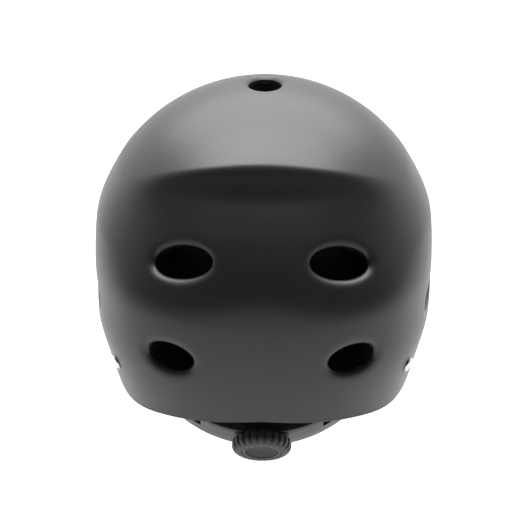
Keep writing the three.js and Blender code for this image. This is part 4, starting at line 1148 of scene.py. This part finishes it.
def roundedStep(radius, low, high, fillet, steps=4):
    # outer corner of a disc, from its side at low to its top at high
    rows = [(radius, low)]
    for i in range(steps + 1):
        a = i / steps * math.pi / 2
        rows.append((radius - fillet * (1 - math.cos(a)), high - fillet * (1 - math.sin(a))))
    return rows


def buildRivets():
    r, w = rivetShape, washerShape
    head = [(r["headRadius"] * math.cos(a), r["lift"] + r["headHeight"] * math.sin(a) ** 0.8)
            for a in np.radians([0.01, 12, 25, 38, 50, 62])]
    dimple = [(radius, r["lift"] + r["headHeight"] * share)
              for radius, share in ((1.9, 0.99), (1.5, 0.94), (0.7, 0.86), (0, 0.84))]
    tailTop = washerTop - w["thickness"] - 0.3
    tail = [(r["tailRadius"] * wide, tailTop - r["tail"] * deep)
            for wide, deep in ((0, 1.0), (0.6, 1.0), (0.95, 0.6), (1.0, 0))]
    tail += [(r["shank"], tailTop), (r["shank"], r["lift"])]
    for end in ("front", "rear"):
        for word, side in (("Left", -1), ("Right", 1)):
            at, normal = rivetSpot(end, side)
            points, faces = latheShape(tail + head + dimple, 40)
            stood = standAt(points, at, [0, 0, 1], normal)
            piece = makePiece(f"{end}Rivet{word}", stood, faces, "steel", "helmet", sharp=50)
            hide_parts(f"rivet_{end}_{word.lower()}")
            low, high = washerTop - w["thickness"], washerTop
            hole, outer = w["hole"], w["radius"]
            ring = [(hole, low), (outer - 0.2, low), (outer, low + 0.2)]
            ring += [(outer, high - 0.2), (outer - 0.2, high), (hole, high)]
            points, faces = latheShape(ring, 36, closed=True)
            stood = standAt(points, at, [0, 0, 1], normal)
            piece = makePiece(f"{end}Washer{word}", stood, faces, "steel", "helmet", sharp=40)
            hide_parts(f"washer_{end}_{word.lower()}")


buildRivets()


# Webbing
webbing = {"edgeRound": 0.55, "step": 2.5, "stitch": 2.3, "stitchGap": 0.9, "threadRadius": 0.3}


def throughRows(rows, step):
    # a smooth line through rows of points and face directions, with even steps
    points = np.array([r[0] for r in rows])
    normals = np.array([r[1] for r in rows])
    gaps = np.linalg.norm(np.diff(points, axis=0), axis=1)
    along = np.concatenate([[0], np.cumsum(gaps)])
    count = max(2, int(round(along[-1] / step)))
    at = np.linspace(0, along[-1], count + 1)
    smooth = np.stack([hermite(list(zip(along, points[:, k])), at) for k in range(3)], -1)
    face = np.stack([np.interp(at, along, normals[:, k]) for k in range(3)], -1)
    return smooth, unit(face), at


def webbingStrip(name, rows, body="helmet", step=None):
    line, face, at = throughRows(rows, step or webbing["step"])
    tangent = unit(np.gradient(line, axis=0))
    across = unit(np.cross(face, tangent))
    face = np.cross(tangent, across)
    w, t, r = strapSize["width"] / 2, strapSize["thickness"] / 2, webbing["edgeRound"]
    section = [(-w, -t + r), (-w + r * 0.3, -t + r * 0.3), (-w + r, -t)]
    section += [(-w * 0.5, -t), (0, -t), (w * 0.5, -t)]
    c = r * 0.3
    section += [(w - r, -t), (w - c, -t + c), (w, -t + r), (w, t - r), (w - c, t - c), (w - r, t)]
    section += [(w * 0.5, t), (0, t), (-w * 0.5, t)]
    section += [(-w + r, t), (-w + r * 0.3, t - r * 0.3), (-w, t - r)]
    rings, uvs = [], []
    for p, a, n, v in zip(line, across, face, at):
        rings.append([p + a * x + n * y for x, y in section])
        uvs += [(x / 1000, v / 1000) for x, y in section]
    points, faces = closedLoft(rings)
    piece = makePiece(name, points, faces, "webbing", body, uvs=uvs, sharp=60)
    return piece, (line, across, face, at)


def stitches(piece, line, normals, radius=None):
    # a row of short thread dashes lying on a face
    radius = radius or webbing["threadRadius"]
    line = np.asarray(line)
    gaps = np.linalg.norm(np.diff(line, axis=0), axis=1)
    along = np.concatenate([[0], np.cumsum(gaps)])
    pitch = webbing["stitch"] + webbing["stitchGap"]
    points, faces = [], []
    for start in np.arange(0.4, along[-1] - webbing["stitch"], pitch):
        reach = (start, start + webbing["stitch"])
        ends = [np.array([np.interp(at, along, line[:, k]) for k in range(3)]) for at in reach]
        n = unit(np.array([np.interp(start, along, normals[:, k]) for k in range(3)]))
        along1 = unit(ends[1] - ends[0])
        side = np.cross(along1, n)
        rings = []
        for f, size in ((0.0, 0.25), (0.15, 0.85), (0.5, 1.0), (0.85, 0.85), (1.0, 0.25)):
            middle = ends[0] + (ends[1] - ends[0]) * f + n * radius * (0.5 if 0 < f < 1 else -0.4)
            turn = np.linspace(0, 2 * math.pi, 6, endpoint=False)
            r = radius * size
            rings.append([middle + r * (math.cos(a) * side + math.sin(a) * n * 0.8) for a in turn])
        p, f = closedLoft(rings)
        faces += [tuple(i + len(points) for i in face) for face in f]
        points += p
    if points:
        addSolids(piece, toFrame(points), faces, slotName="thread")


def boxStitch(piece, track, low, high, half=6.5, sign=1):
    # a sewn box with a cross in it on one face of a strip
    line, across, face, at = track
    spots = np.linspace(low, high, 12)
    middle = np.stack([np.interp(spots, at, line[:, k]) for k in range(3)], -1)
    side = unit(np.stack([np.interp(spots, at, across[:, k]) for k in range(3)], -1))
    n = unit(np.stack([np.interp(spots, at, face[:, k]) for k in range(3)], -1)) * sign
    top = middle + n * (strapSize["thickness"] / 2 + 0.05)
    share = np.linspace(-1, 1, 12)[:, None]
    for offset in (-half, half):
        stitches(piece, top + side * offset, n)
    stitches(piece, top + side * half * share, n)
    stitches(piece, top - side * half * share, n)
    for k in (0, -1):
        stitches(piece, top[k] + side[k] * half * share, np.repeat(n[k][None], 12, 0))


def buildVStraps():
    for end in ("front", "rear"):
        for word, side in (("Left", -1), ("Right", 1)):
            rows = vStrapRows(end, side)
            piece, track = webbingStrip(f"{end}Strap{word}", rows)
            whole = track[3][-1]
            stop = dividerSize["top"] - dividerSize["strapStop"]
            boxStitch(piece, track, whole - stop - 16, whole - stop - 3)
            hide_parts(f"strap_{end}_{word.lower()}")


buildVStraps()

loopOrigin = np.array([0, dividerSize["y"], dividerSize["z"]])
buckleShape = {"halfWidth": 13.2, "socketBar": 15.0, "plugBar": 52.0, "barRadius": 1.5}
barBend = buckleShape["barRadius"] + 0.35 + strapSize["thickness"] / 2
tailLength = 14.0
straightEnd = np.array([chinLoop["straightX"], chinLoop["straightDepth"]])
pastStraight = chinLoop["depth"] - chinLoop["straightDepth"]
bendCorner = np.array([chinLoop["straightX"] - math.tan(straightAngle) * pastStraight, chinLoop["depth"]])
chinPadShape = {"halfLength": 40.0, "width": 27.0, "inner": 6.5, "outer": 2.2}
padShare = 1 - chinPadShape["halfLength"] / (bendCorner[0] + 10)


def alongSide(side, distance, lift=0.0):
    return np.array([
        side * (dividerSize["x"] - math.sin(straightAngle) * distance + math.cos(straightAngle) * lift),
        math.cos(straightAngle) * distance + math.sin(straightAngle) * lift,
    ])


def bendPoints(side, start, end, steps):
    rows = []
    for t in np.linspace(start, end, steps + 1):
        lowest = np.array([0, chinLoop["depth"]])
        p = straightEnd * (1 - t) ** 2 + bendCorner * 2 * t * (1 - t) + lowest * t * t
        rows.append(np.array([side * p[0], p[1]]))
    return rows


def roundBar(side, bar, towards, back):
    turn = [alongSide(side, bar + towards * math.cos(a) * barBend, math.sin(a) * barBend)
            for a in np.linspace(-math.pi / 2, math.pi / 2, 9)]
    rest = [alongSide(side, bar - towards * back * f, barBend) for f in (0.4, 0.7, 1.0)]
    return turn + rest


def loopRows(flat):
    flat = np.array(flat)
    tangent = unit(np.gradient(flat, axis=0))
    normal = np.stack([-tangent[:, 1], tangent[:, 0]], -1)
    inSpace = lambda p: p[:, :1] * np.array([1.0, 0, 0]) + p[:, 1:] * loopDown
    return list(zip(loopOrigin + inSpace(flat), inSpace(normal)))


def buildChinStraps():
    left = [alongSide(-1, d) for d in (dividerSize["strapStart"], 10, 20, 32, 46, 58)]
    left += bendPoints(-1, 0, padShare + 0.05, 8)
    piece, track = webbingStrip("chinStrapLeft", loopRows(left))
    boxStitch(piece, track, 10, 24, sign=-1)
    boxStitch(piece, track, 10, 24, sign=1)
    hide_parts("chin_strap_left")
    bar = buckleShape["socketBar"]
    upper = [alongSide(1, d) for d in (dividerSize["strapStart"], bar - 8, bar - 5)]
    upper += [alongSide(1, bar - 1, -barBend)]
    piece, track = webbingStrip("upperStrapRight", loopRows(upper + roundBar(1, bar, 1, 3)), step=0.8)
    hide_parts("upper_strap_right")
    bends = bendPoints(-1, padShare + 0.08, 1, 6) + bendPoints(1, 0, 0.94, 9)[::-1]
    bar = buckleShape["plugBar"]
    whole = bends + [alongSide(1, bar + 9), alongSide(1, bar + 6), alongSide(1, bar + 1, -barBend)]
    whole += roundBar(1, bar, -1, tailLength)
    piece, track = webbingStrip("chinStrapRight", loopRows(whole), body=None, step=0.9)
    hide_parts("chin_strap_right")
    start = loopRows([bendPoints(1, 0, 1, 8)[3], bendPoints(1, 0, 1, 8)[2]])[0][0]
    end = loopRows([alongSide(1, bar + 22), alongSide(1, bar + 20)])[0][0]
    tuple(toFrame(start))
    tuple(toFrame(end))
    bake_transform(piece)
    print("webbing laid")


buildChinStraps()


def buildChinPad():
    # a padded sleeve round the strap, open at both ends
    c = chinPadShape
    flat = bendPoints(-1, padShare, 1, 22) + bendPoints(1, padShare, 0.96, 22)[::-1]
    rows = loopRows(flat)
    line, face, at = throughRows(rows, 2.2)
    tangent = unit(np.gradient(line, axis=0))
    across = unit(np.cross(face, tangent))
    face = np.cross(tangent, across)
    # the face direction that points at the chin
    towardChin = np.sign((face[len(face) // 2] @ -loopDown))
    face = face * towardChin
    turn = np.linspace(0, 2 * math.pi, 36, endpoint=False)
    rings = []

    def ring(i, width, inner, outer, power):
        co, si = np.cos(turn), np.sin(turn)
        x = np.sign(co) * np.abs(co) ** power * width / 2
        y = np.sign(si) * np.abs(si) ** power * np.where(si > 0, inner, outer)
        return [line[i] + across[i] * a + face[i] * b for a, b in zip(x, y)]

    last = len(line) - 1
    slot = (strapSize["width"] + 1.0, strapSize["thickness"] / 2 + 0.5, strapSize["thickness"] / 2 + 0.5)
    for i in range(last + 1):
        fromEnd = min(at[i], at[-1] - at[i])
        swell = min(1.0, (fromEnd / 6.0)) ** 0.5
        ease = 0.45 + 0.55 * swell
        quilt = 1 - 0.1 * math.exp(-((abs(at[i] - at[-1] / 2) - 16) / 1.6) ** 2)
        rings.append(ring(i, strapSize["width"] + 3 + (c["width"] - strapSize["width"] - 3) * swell,
                          c["inner"] * ease * quilt, max(1.9, c["outer"] * ease), 0.62))
    for i in range(last, -1, -1):
        rings.append(ring(i, *slot, 0.2))
    points, faces = closedLoft(rings, closed=True)
    piece = makePiece("chinCushion", points, faces, "pad_fabric", "helmet", sharp=75)
    edge = [line[i] + across[i] * (c["width"] / 2 - 0.2) for i in range(4, last - 3)]
    other = [line[i] - across[i] * (c["width"] / 2 - 0.2) for i in range(4, last - 3)]
    for seam in (edge, other):
        addSolids(piece, *tubeAlong(toFrame(seam), 0.0007, closed=False), slotName="webbing")
    for offset in (-10.2, 10.2):
        ids = range(6, last - 5)
        stitches(piece, [line[i] + across[i] * offset - face[i] * (c["outer"] * 0.93) for i in ids],
                 np.array([-face[i] for i in ids]))
    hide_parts("chin_pad")


buildChinPad()


# Moulded pieces that keep their CAD shape and gain softened edges
def softened(node, name, body, slotName, edge=0.4, segments=2, limit=32):
    source = frame["nodes"][node].data
    mesh = source.copy()
    mesh.materials.clear()
    work = bmesh.new()
    work.from_mesh(mesh)
    bmesh.ops.remove_doubles(work, verts=work.verts, dist=2e-6)
    bmesh.ops.dissolve_limit(work, angle_limit=math.radians(1.5), verts=work.verts, edges=work.edges)
    work.to_mesh(mesh)
    work.free()
    piece = bpy.data.objects.new(name, mesh)
    bpy.context.collection.objects.link(piece)
    mesh.materials.append(finishes[slotName])
    mesh.polygons.foreach_set("use_smooth", [True] * len(mesh.polygons))
    mesh.set_sharp_from_angle(angle=math.radians(180))
    bevel = piece.modifiers.new("edges", "BEVEL")
    bevel.width = edge / 1000
    bevel.segments = segments
    bevel.limit_method = "ANGLE"
    bevel.angle_limit = math.radians(limit)
    bevel.harden_normals = True
    bevel.use_clamp_overlap = True
    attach(piece, body)
    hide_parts(node)
    return piece


for word in ("left", "right"):
    softened(f"divider_{word}", f"strapDivider{word.title()}", "helmet", "hard_plastic", 1.1, 3)
    softened(f"temple_link_{word}", f"templeLink{word.title()}", "temple_links", "hard_plastic", 0.5)
softened("strap_keeper", "strapKeeper", "buckle_plug", "knob_rubber", 0.5)
softened("buckle_socket", "buckleSocket", "helmet", "hard_plastic", 0.5)
softened("buckle_plug", "bucklePlug", "buckle_plug", "hard_plastic", 0.5)
softened("buckle_prong_front", "buckleProngFront", "prong_front", "hard_plastic", 0.4)
softened("buckle_prong_rear", "buckleProngRear", "prong_rear", "hard_plastic", 0.4)
print("divider, buckle and keeper edges softened")


# Nape cradle, in its own frame: the bands lie on an arc with the nape at -y
cradle = {
    "bandThickness": 2.0, "bandHalfHeight": 7.6, "channelPlay": 0.6, "span": 42.0, "halfHeight": 11.5,
    "coverWall": 2.4, "plateWall": 2.0, "bossRadius": 15.0,
    "slotAngle": 31.5, "slotHalf": 3.4, "slotLow": -1.1, "slotHigh": 6.0,
    "broadEnd": 30.0, "tip": 14.0, "eyeRadius": 3.8, "boreRadius": 2.2,
    "anchorBase": 89.5, "anchorRadius": 10.5, "anchorThick": 2.7, "studRadius": 3.0, "studTip": 84.3,
}
bandInner = cradleShape["radius"] - cradle["bandThickness"] / 2
bandOuter = cradleShape["radius"] + cradle["bandThickness"] / 2
channelInner = bandInner - cradle["channelPlay"]
channelOuter = bandOuter + cradle["channelPlay"]
coverOuter = channelOuter + cradle["coverWall"]
plateInner = channelInner - cradle["plateWall"]
bossTop = coverOuter + 0.5


def fromCradle(points):
    p = np.asarray(points, float)
    a = math.radians(cradleShape["slope"])
    y = p[..., 1] * math.cos(a) - p[..., 2] * math.sin(a) + cradleShape["y"]
    z = p[..., 1] * math.sin(a) + p[..., 2] * math.cos(a) + cradleShape["z"]
    return np.stack([p[..., 0], y, z], -1)


def onArc(angle, radius, height):
    # angles count from the nape, rising towards the wearer's right
    a = np.radians(np.asarray(angle) - 90)
    return np.stack(np.broadcast_arrays(radius * np.cos(a), radius * np.sin(a), height), -1)


def outOfNape(points, angle=0.0):
    # a shape built up its own z axis, turned to stand out of the nape
    p = np.asarray(points, float)
    x, y, z = p[..., 0], -p[..., 2], p[..., 1]
    a = math.radians(angle)
    return np.stack([x * math.cos(a) - y * math.sin(a), x * math.sin(a) + y * math.cos(a), z], -1)


def roundedBox2d(lowA, highA, lowB, highB, corner, steps=3):
    # an outline with rounded corners, in order round it
    rows = []
    for cx, cy, start in ((highA - corner, highB - corner, 0), (lowA + corner, highB - corner, 90),
                          (lowA + corner, lowB + corner, 180), (highA - corner, lowB + corner, 270)):
        for i in range(steps + 1):
            a = math.radians(start + 90 * i / steps)
            rows.append((cx + corner * math.cos(a), cy + corner * math.sin(a)))
    return rows


def arcBar(inner, outer, low, high, fromAngle, toAngle, corner=0.5, steps=48):
    section = roundedBox2d(inner, outer, low, high, corner)
    rings = [[onArc(a, r, h) for r, h in section] for a in np.linspace(fromAngle, toAngle, steps + 1)]
    return closedLoft(rings)


def together(parts):
    points, faces = [], []
    for p, f in parts:
        faces += [tuple(i + len(points) for i in face) for face in f]
        points += [tuple(q) for q in p]
    return np.array(points), faces


def bevelled(piece, width, segments=2, limit=40):
    bevel = piece.modifiers.new("edges", "BEVEL")
    bevel.width = width / 1000
    bevel.segments = segments
    bevel.limit_method = "ANGLE"
    bevel.angle_limit = math.radians(limit)
    bevel.harden_normals = True


def buildCover():
    c = cradle
    half, lip = c["halfHeight"], c["halfHeight"] - 2
    section = [(plateInner, -half), (coverOuter - 1.2, -half)]
    section += [(coverOuter - 0.35, -half + 0.35), (coverOuter, -half + 1.2)]
    outerLow = len(section)
    section += [(coverOuter, c["slotLow"]), (coverOuter, c["slotHigh"])]
    section += [(coverOuter, half - 1.2), (coverOuter - 0.35, half - 0.35)]
    section += [(coverOuter - 1.2, half), (plateInner, half), (plateInner, lip)]
    section += [(channelOuter, lip)]
    innerLow = len(section)
    section += [(channelOuter, z) for z in (c["slotHigh"], c["slotLow"], -lip)] + [(plateInner, -lip)]
    slotHalf = math.degrees(c["slotHalf"] / coverOuter)
    stops = sorted(set(list(np.linspace(-c["span"], c["span"], 57))
                       + [s * (c["slotAngle"] + k * slotHalf) for s in (-1, 1) for k in (-1, 1)]))
    slotEnds = [c["slotAngle"] - slotHalf, c["slotAngle"] + slotHalf]
    stops = [a for a in stops if not any(0.02 < abs(abs(a) - end) < 0.5 for end in slotEnds)]
    rings = [[onArc(a, r, h) for r, h in section] for a in stops]
    points, faces = closedLoft(rings)
    count = len(section)
    kept, walls = [], []
    middles = [(a + b) / 2 for a, b in zip(stops[:-1], stops[1:])]
    isOpen = [abs(abs(a) - c["slotAngle"]) < slotHalf for a in middles]
    for index, face in enumerate(faces):
        i, j = divmod(index, count)
        if i < len(isOpen) and isOpen[i] and j in (outerLow, innerLow):
            continue
        kept.append(face)
    for i, gone in enumerate(isOpen):
        if not gone:
            continue
        here, there = i * count, (i + 1) * count
        walls.append((here + outerLow, there + outerLow, there + innerLow + 1, here + innerLow + 1))
        walls.append((here + outerLow + 1, here + innerLow, there + innerLow, there + outerLow + 1))
        if not isOpen[i - 1]:
            walls.append((here + outerLow, here + innerLow + 1, here + innerLow, here + outerLow + 1))
        if not isOpen[i + 1]:
            walls.append((there + outerLow, there + outerLow + 1, there + innerLow, there + innerLow + 1))
    piece = makePiece("napeCover", fromCradle(points), kept + walls, "hard_plastic", "nape_housing")
    bevelled(piece, 0.35)
    disc = [(0, channelOuter + 0.3), (c["bossRadius"], channelOuter + 0.3)]
    disc += roundedStep(c["bossRadius"], channelOuter + 1.4, bossTop, 0.6) + [(0, bossTop)]
    p, f = latheShape(disc, 64)
    addSolids(piece, toFrame(fromCradle(outOfNape(p))), f)
    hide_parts("housing_cover")


def buildPlateAndPad():
    lip = cradle["halfHeight"] - 2.35
    span = cradle["span"] - 1
    points, faces = arcBar(plateInner, channelInner, -lip, lip, -span, span, 0.5)
    piece = makePiece("napePlate", fromCradle(points), faces, "hard_plastic", "nape_housing", sharp=50)
    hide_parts("housing_plate")

    def pointAt(s, t, inset):
        # the pad's back lies on the plate and its face is nearer the nape
        depth = (inset - pads["behind"]) * (4.2 / (pads["thickness"] - pads["behind"]))
        return fromCradle(onArc(s * 30, plateInner - 0.45 - depth, t * 8))

    channels = [(across, -0.8, 0.8) for across in (-0.33, 0.33)]
    cushion("napeCushion", "nape_pad", pointAt, 30, 6, body="nape_housing", channels=channels)


gear = {"teeth": 6, "pitchRadius": 3.6, "addendum": 0.9, "dedendum": 1.2, "halfTooth": 0.6, "stripOuter": 8.6}


def buildBands():
    c, h = cradle, cradle["bandHalfHeight"]
    stripInner = gear["pitchRadius"] + gear["dedendum"]
    pitch = 2 * math.pi * gear["pitchRadius"] / gear["teeth"]
    count = int(2 * math.radians(c["tip"]) * cradleShape["radius"] / pitch) - 1
    for word, side in (("left", -1), ("right", 1)):
        broad = arcBar(bandInner, bandOuter, -h, h, side * c["broadEnd"], side * 87.6, 0.6)
        low, high = sorted((side * stripInner, side * gear["stripOuter"]))
        narrow = arcBar(bandInner, bandOuter, low, high, -side * c["tip"], side * (c["broadEnd"] + 1), 0.4)
        parts = [broad, narrow]
        for i in range(count):
            at = ((i - count / 2 + 0.5) * pitch + (pitch / 2 if count % 2 else 0)) / cradleShape["radius"]
            tip, root = side * (gear["pitchRadius"] - gear["addendum"]), side * (stripInner + 0.3)
            tipHalf, rootHalf = gear["halfTooth"] * 0.65, gear["halfTooth"] * 1.4
            flat = [(-tipHalf, tip), (tipHalf, tip), (rootHalf, root), (-rootHalf, root)]
            levels = (bandInner + 0.05, bandOuter - 0.05)
            rings = [outOfNape([(x, y, r) for x, y in flat], math.degrees(at)) for r in levels]
            parts.append(closedLoft([list(r) for r in rings]))
        bore, outer = c["boreRadius"], c["eyeRadius"]
        eye = [(bore, -h), (outer - 0.4, -h), (outer, -h + 0.4)]
        eye += [(outer, h - 0.4), (outer - 0.4, h), (bore, h)]
        p, f = latheShape(eye, 32, closed=True)
        parts.append((p + np.array([side * cradleShape["radius"], 0, 0]), f))
        # two long ribs stiffen the broad part
        for height in (-4.2, 4.2):
            levels = (height - 0.7, height + 0.7)
            parts.append(arcBar(bandOuter - 0.3, bandOuter + 0.35, *levels, side * 52, side * 80, 0.3))
        points, faces = together(parts)
        name = f"napeBand{word.title()}"
        piece = makePiece(name, fromCradle(points), faces, "hard_plastic", f"band_{word}", sharp=50)
        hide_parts(f"band_{word}")


def buildAnchors():
    c = cradle
    for word, side in (("left", -1), ("right", 1)):
        base, top = c["anchorBase"], c["anchorBase"] + c["anchorThick"]
        radius, tip = c["studRadius"], c["studTip"]
        profile = [(0, tip), (radius - 0.4, tip), (radius, tip + 0.4), (radius, base)]
        radius = c["anchorRadius"]
        profile += [(radius - 0.5, base), (radius, base + 0.5)]
        profile += [(radius, top - 0.3), (radius - 0.3, top), (0, top)]
        p, f = latheShape(profile, 48)
        origin = np.array([0, cradleShape["y"], cradleShape["z"]])
        stood = standAt(p, origin, [0, 0, 1.0], [side, 0, 0])
        piece = makePiece(f"anchorStud{word.title()}", stood, f, "hard_plastic", "helmet", sharp=40)
        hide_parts(f"anchor_stud_{word}")
        end = c["bandHalfHeight"] + 2.9
        pin = [(0, -end - 0.2), (1.0, -end - 0.15), (1.4, -end + 0.3)]
        pin += [(1.4, end - 0.3), (1.0, end + 0.15), (0, end + 0.2)]
        p, f = latheShape(pin, 28)
        stood = fromCradle(p + np.array([side * cradleShape["radius"], 0, 0]))
        piece = makePiece(f"linkPin{word.title()}", stood, f, "steel", "temple_links", sharp=40)
        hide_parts(f"link_pin_{word}")


knob = {
    "radius": 19.3, "height": 8.0, "ribs": 24, "perRib": 12, "grooveDepth": 1.15,
    "faceRadius": 10.0, "dotRing": 12.9, "dotRadius": 0.62, "dots": 24, "base": bossTop + 0.4,
}


def buildKnob():
    k = knob
    around = k["ribs"] * k["perRib"]
    base, top, radius = k["base"], k["base"] + k["height"], k["radius"]
    # share of the radius, share of the height, and how much of the groove's depth shows there
    side = [(0.955, 0, 0.7), (0.972, 0.04, 1), (0.978, 0.13, 1), (0.978, 0.25, 1), (0.978, 0.37, 1),
            (0.976, 0.48, 1), (0.970, 0.57, 1), (0.955, 0.66, 1), (0.932, 0.74, 0.95), (0.902, 0.82, 0.85), (0.868, 0.885, 0.6),
            (0.834, 0.935, 0.32), (0.800, 0.97, 0.1), (0.772, 0.995, 0)]
    profile = [(8.4, base + 0.1, 0), (14.4, base + 0.1, 0)]
    profile += [(radius * r, base + k["height"] * h, share) for r, h, share in side]
    face = k["faceRadius"]
    profile += [(13.6, top, 0), (face + 1.0, top, 0), (face + 0.55, top - 0.12, 0), (face + 0.3, top - 0.5, 0),
                (face + 0.3, top - 1.35, 0), (3.4, top - 1.35, 0), (3.4, top - 3.5, 0), (0, top - 3.5, 0)]
    turn = np.linspace(0, 2 * math.pi, around, endpoint=False)
    phase = (turn * k["ribs"] / (2 * math.pi)) % 1
    # rounded ribs with narrower rounded grooves between them
    groove = np.clip(np.cos((phase - 0.5) * 2 * math.pi) * 1.25 - 0.1, 0, 1) ** 0.8
    points, rings = [], []
    for r, height, share in profile:
        if r == 0:
            rings.append([len(points)])
            points.append((0, 0, height))
            continue
        rings.append(list(range(len(points), len(points) + around)))
        depth = groove * share * k["grooveDepth"]
        points += [((r - d) * math.cos(a), (r - d) * math.sin(a), height) for a, d in zip(turn, depth)]
    faces = [tuple(rings[0])]
    for low, high in zip(rings[:-1], rings[1:]):
        for i in range(around):
            n = (i + 1) % around
            if len(high) == 1:
                faces.append((low[i], low[n], high[0]))
            else:
                faces.append((low[i], low[n], high[n], high[i]))
    piece = makePiece("dialKnob", fromCradle(outOfNape(points)), faces, "knob_rubber", "dial", sharp=48)
    for i in range(k["dots"]):
        a = 2 * math.pi * (i + 0.5) / k["dots"]
        bump = [(k["dotRadius"], -0.15)]
        bump += [(k["dotRadius"] * math.cos(b), 0.42 * math.sin(b)) for b in np.radians([0, 25, 50, 72])]
        bump += [(0, 0.42)]
        p, f = latheShape(bump, 14)
        f = [tuple(range(14))[::-1]] + f
        p = p + np.array([k["dotRing"] * math.cos(a), k["dotRing"] * math.sin(a), top])
        addSolids(piece, toFrame(fromCradle(outOfNape(p))), f)
    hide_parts("dial_knob")
    low, high = top - 1.2, top - 0.5
    cap = [(0, low), (k["faceRadius"], low)] + roundedStep(k["faceRadius"], low + 0.1, high, 0.3)
    cap += [(8.2, high - 0.02), (6, high - 0.12), (3, high - 0.2), (0, high - 0.22)]
    p, f = latheShape(cap, 72)
    piece = makePiece("dialCap", fromCradle(outOfNape(p)), f, "hard_plastic", "dial", sharp=45)
    piece.data.materials[0] = dialFace
    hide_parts("dial_cap")


buildCover()
buildPlateAndPad()
buildBands()
buildAnchors()
buildKnob()
print("nape cradle built")


# Floor
def buildFloor():
    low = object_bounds()[0]
    half = 6.0
    height = low[2] - studio["floorDrop"]
    mesh = bpy.data.meshes.new("studioFloor")
    steps = 12
    spots = np.linspace(-half, half, steps + 1)
    points = [(x, y, height) for x in spots for y in spots]
    row = steps + 1
    faces = [(i * row + j, (i + 1) * row + j, (i + 1) * row + j + 1, i * row + j + 1)
             for i in range(steps) for j in range(steps)]
    mesh.from_pydata(points, [], faces)
    mesh.materials.append(floorPaper())
    floor = bpy.data.objects.new("studioFloor", mesh)
    bpy.context.collection.objects.link(floor)


buildFloor()

# The pieces left as they are take their finish from the record's slot.
slotOf = {row["node"]: row["material_slot"] for row in frame["record"]["subparts"]}
for node, piece in frame["nodes"].items():
    piece.data.materials.clear()
    piece.data.materials.append(finishes[slotOf[node]])

bpy.context.scene.view_settings.view_transform = "Standard"
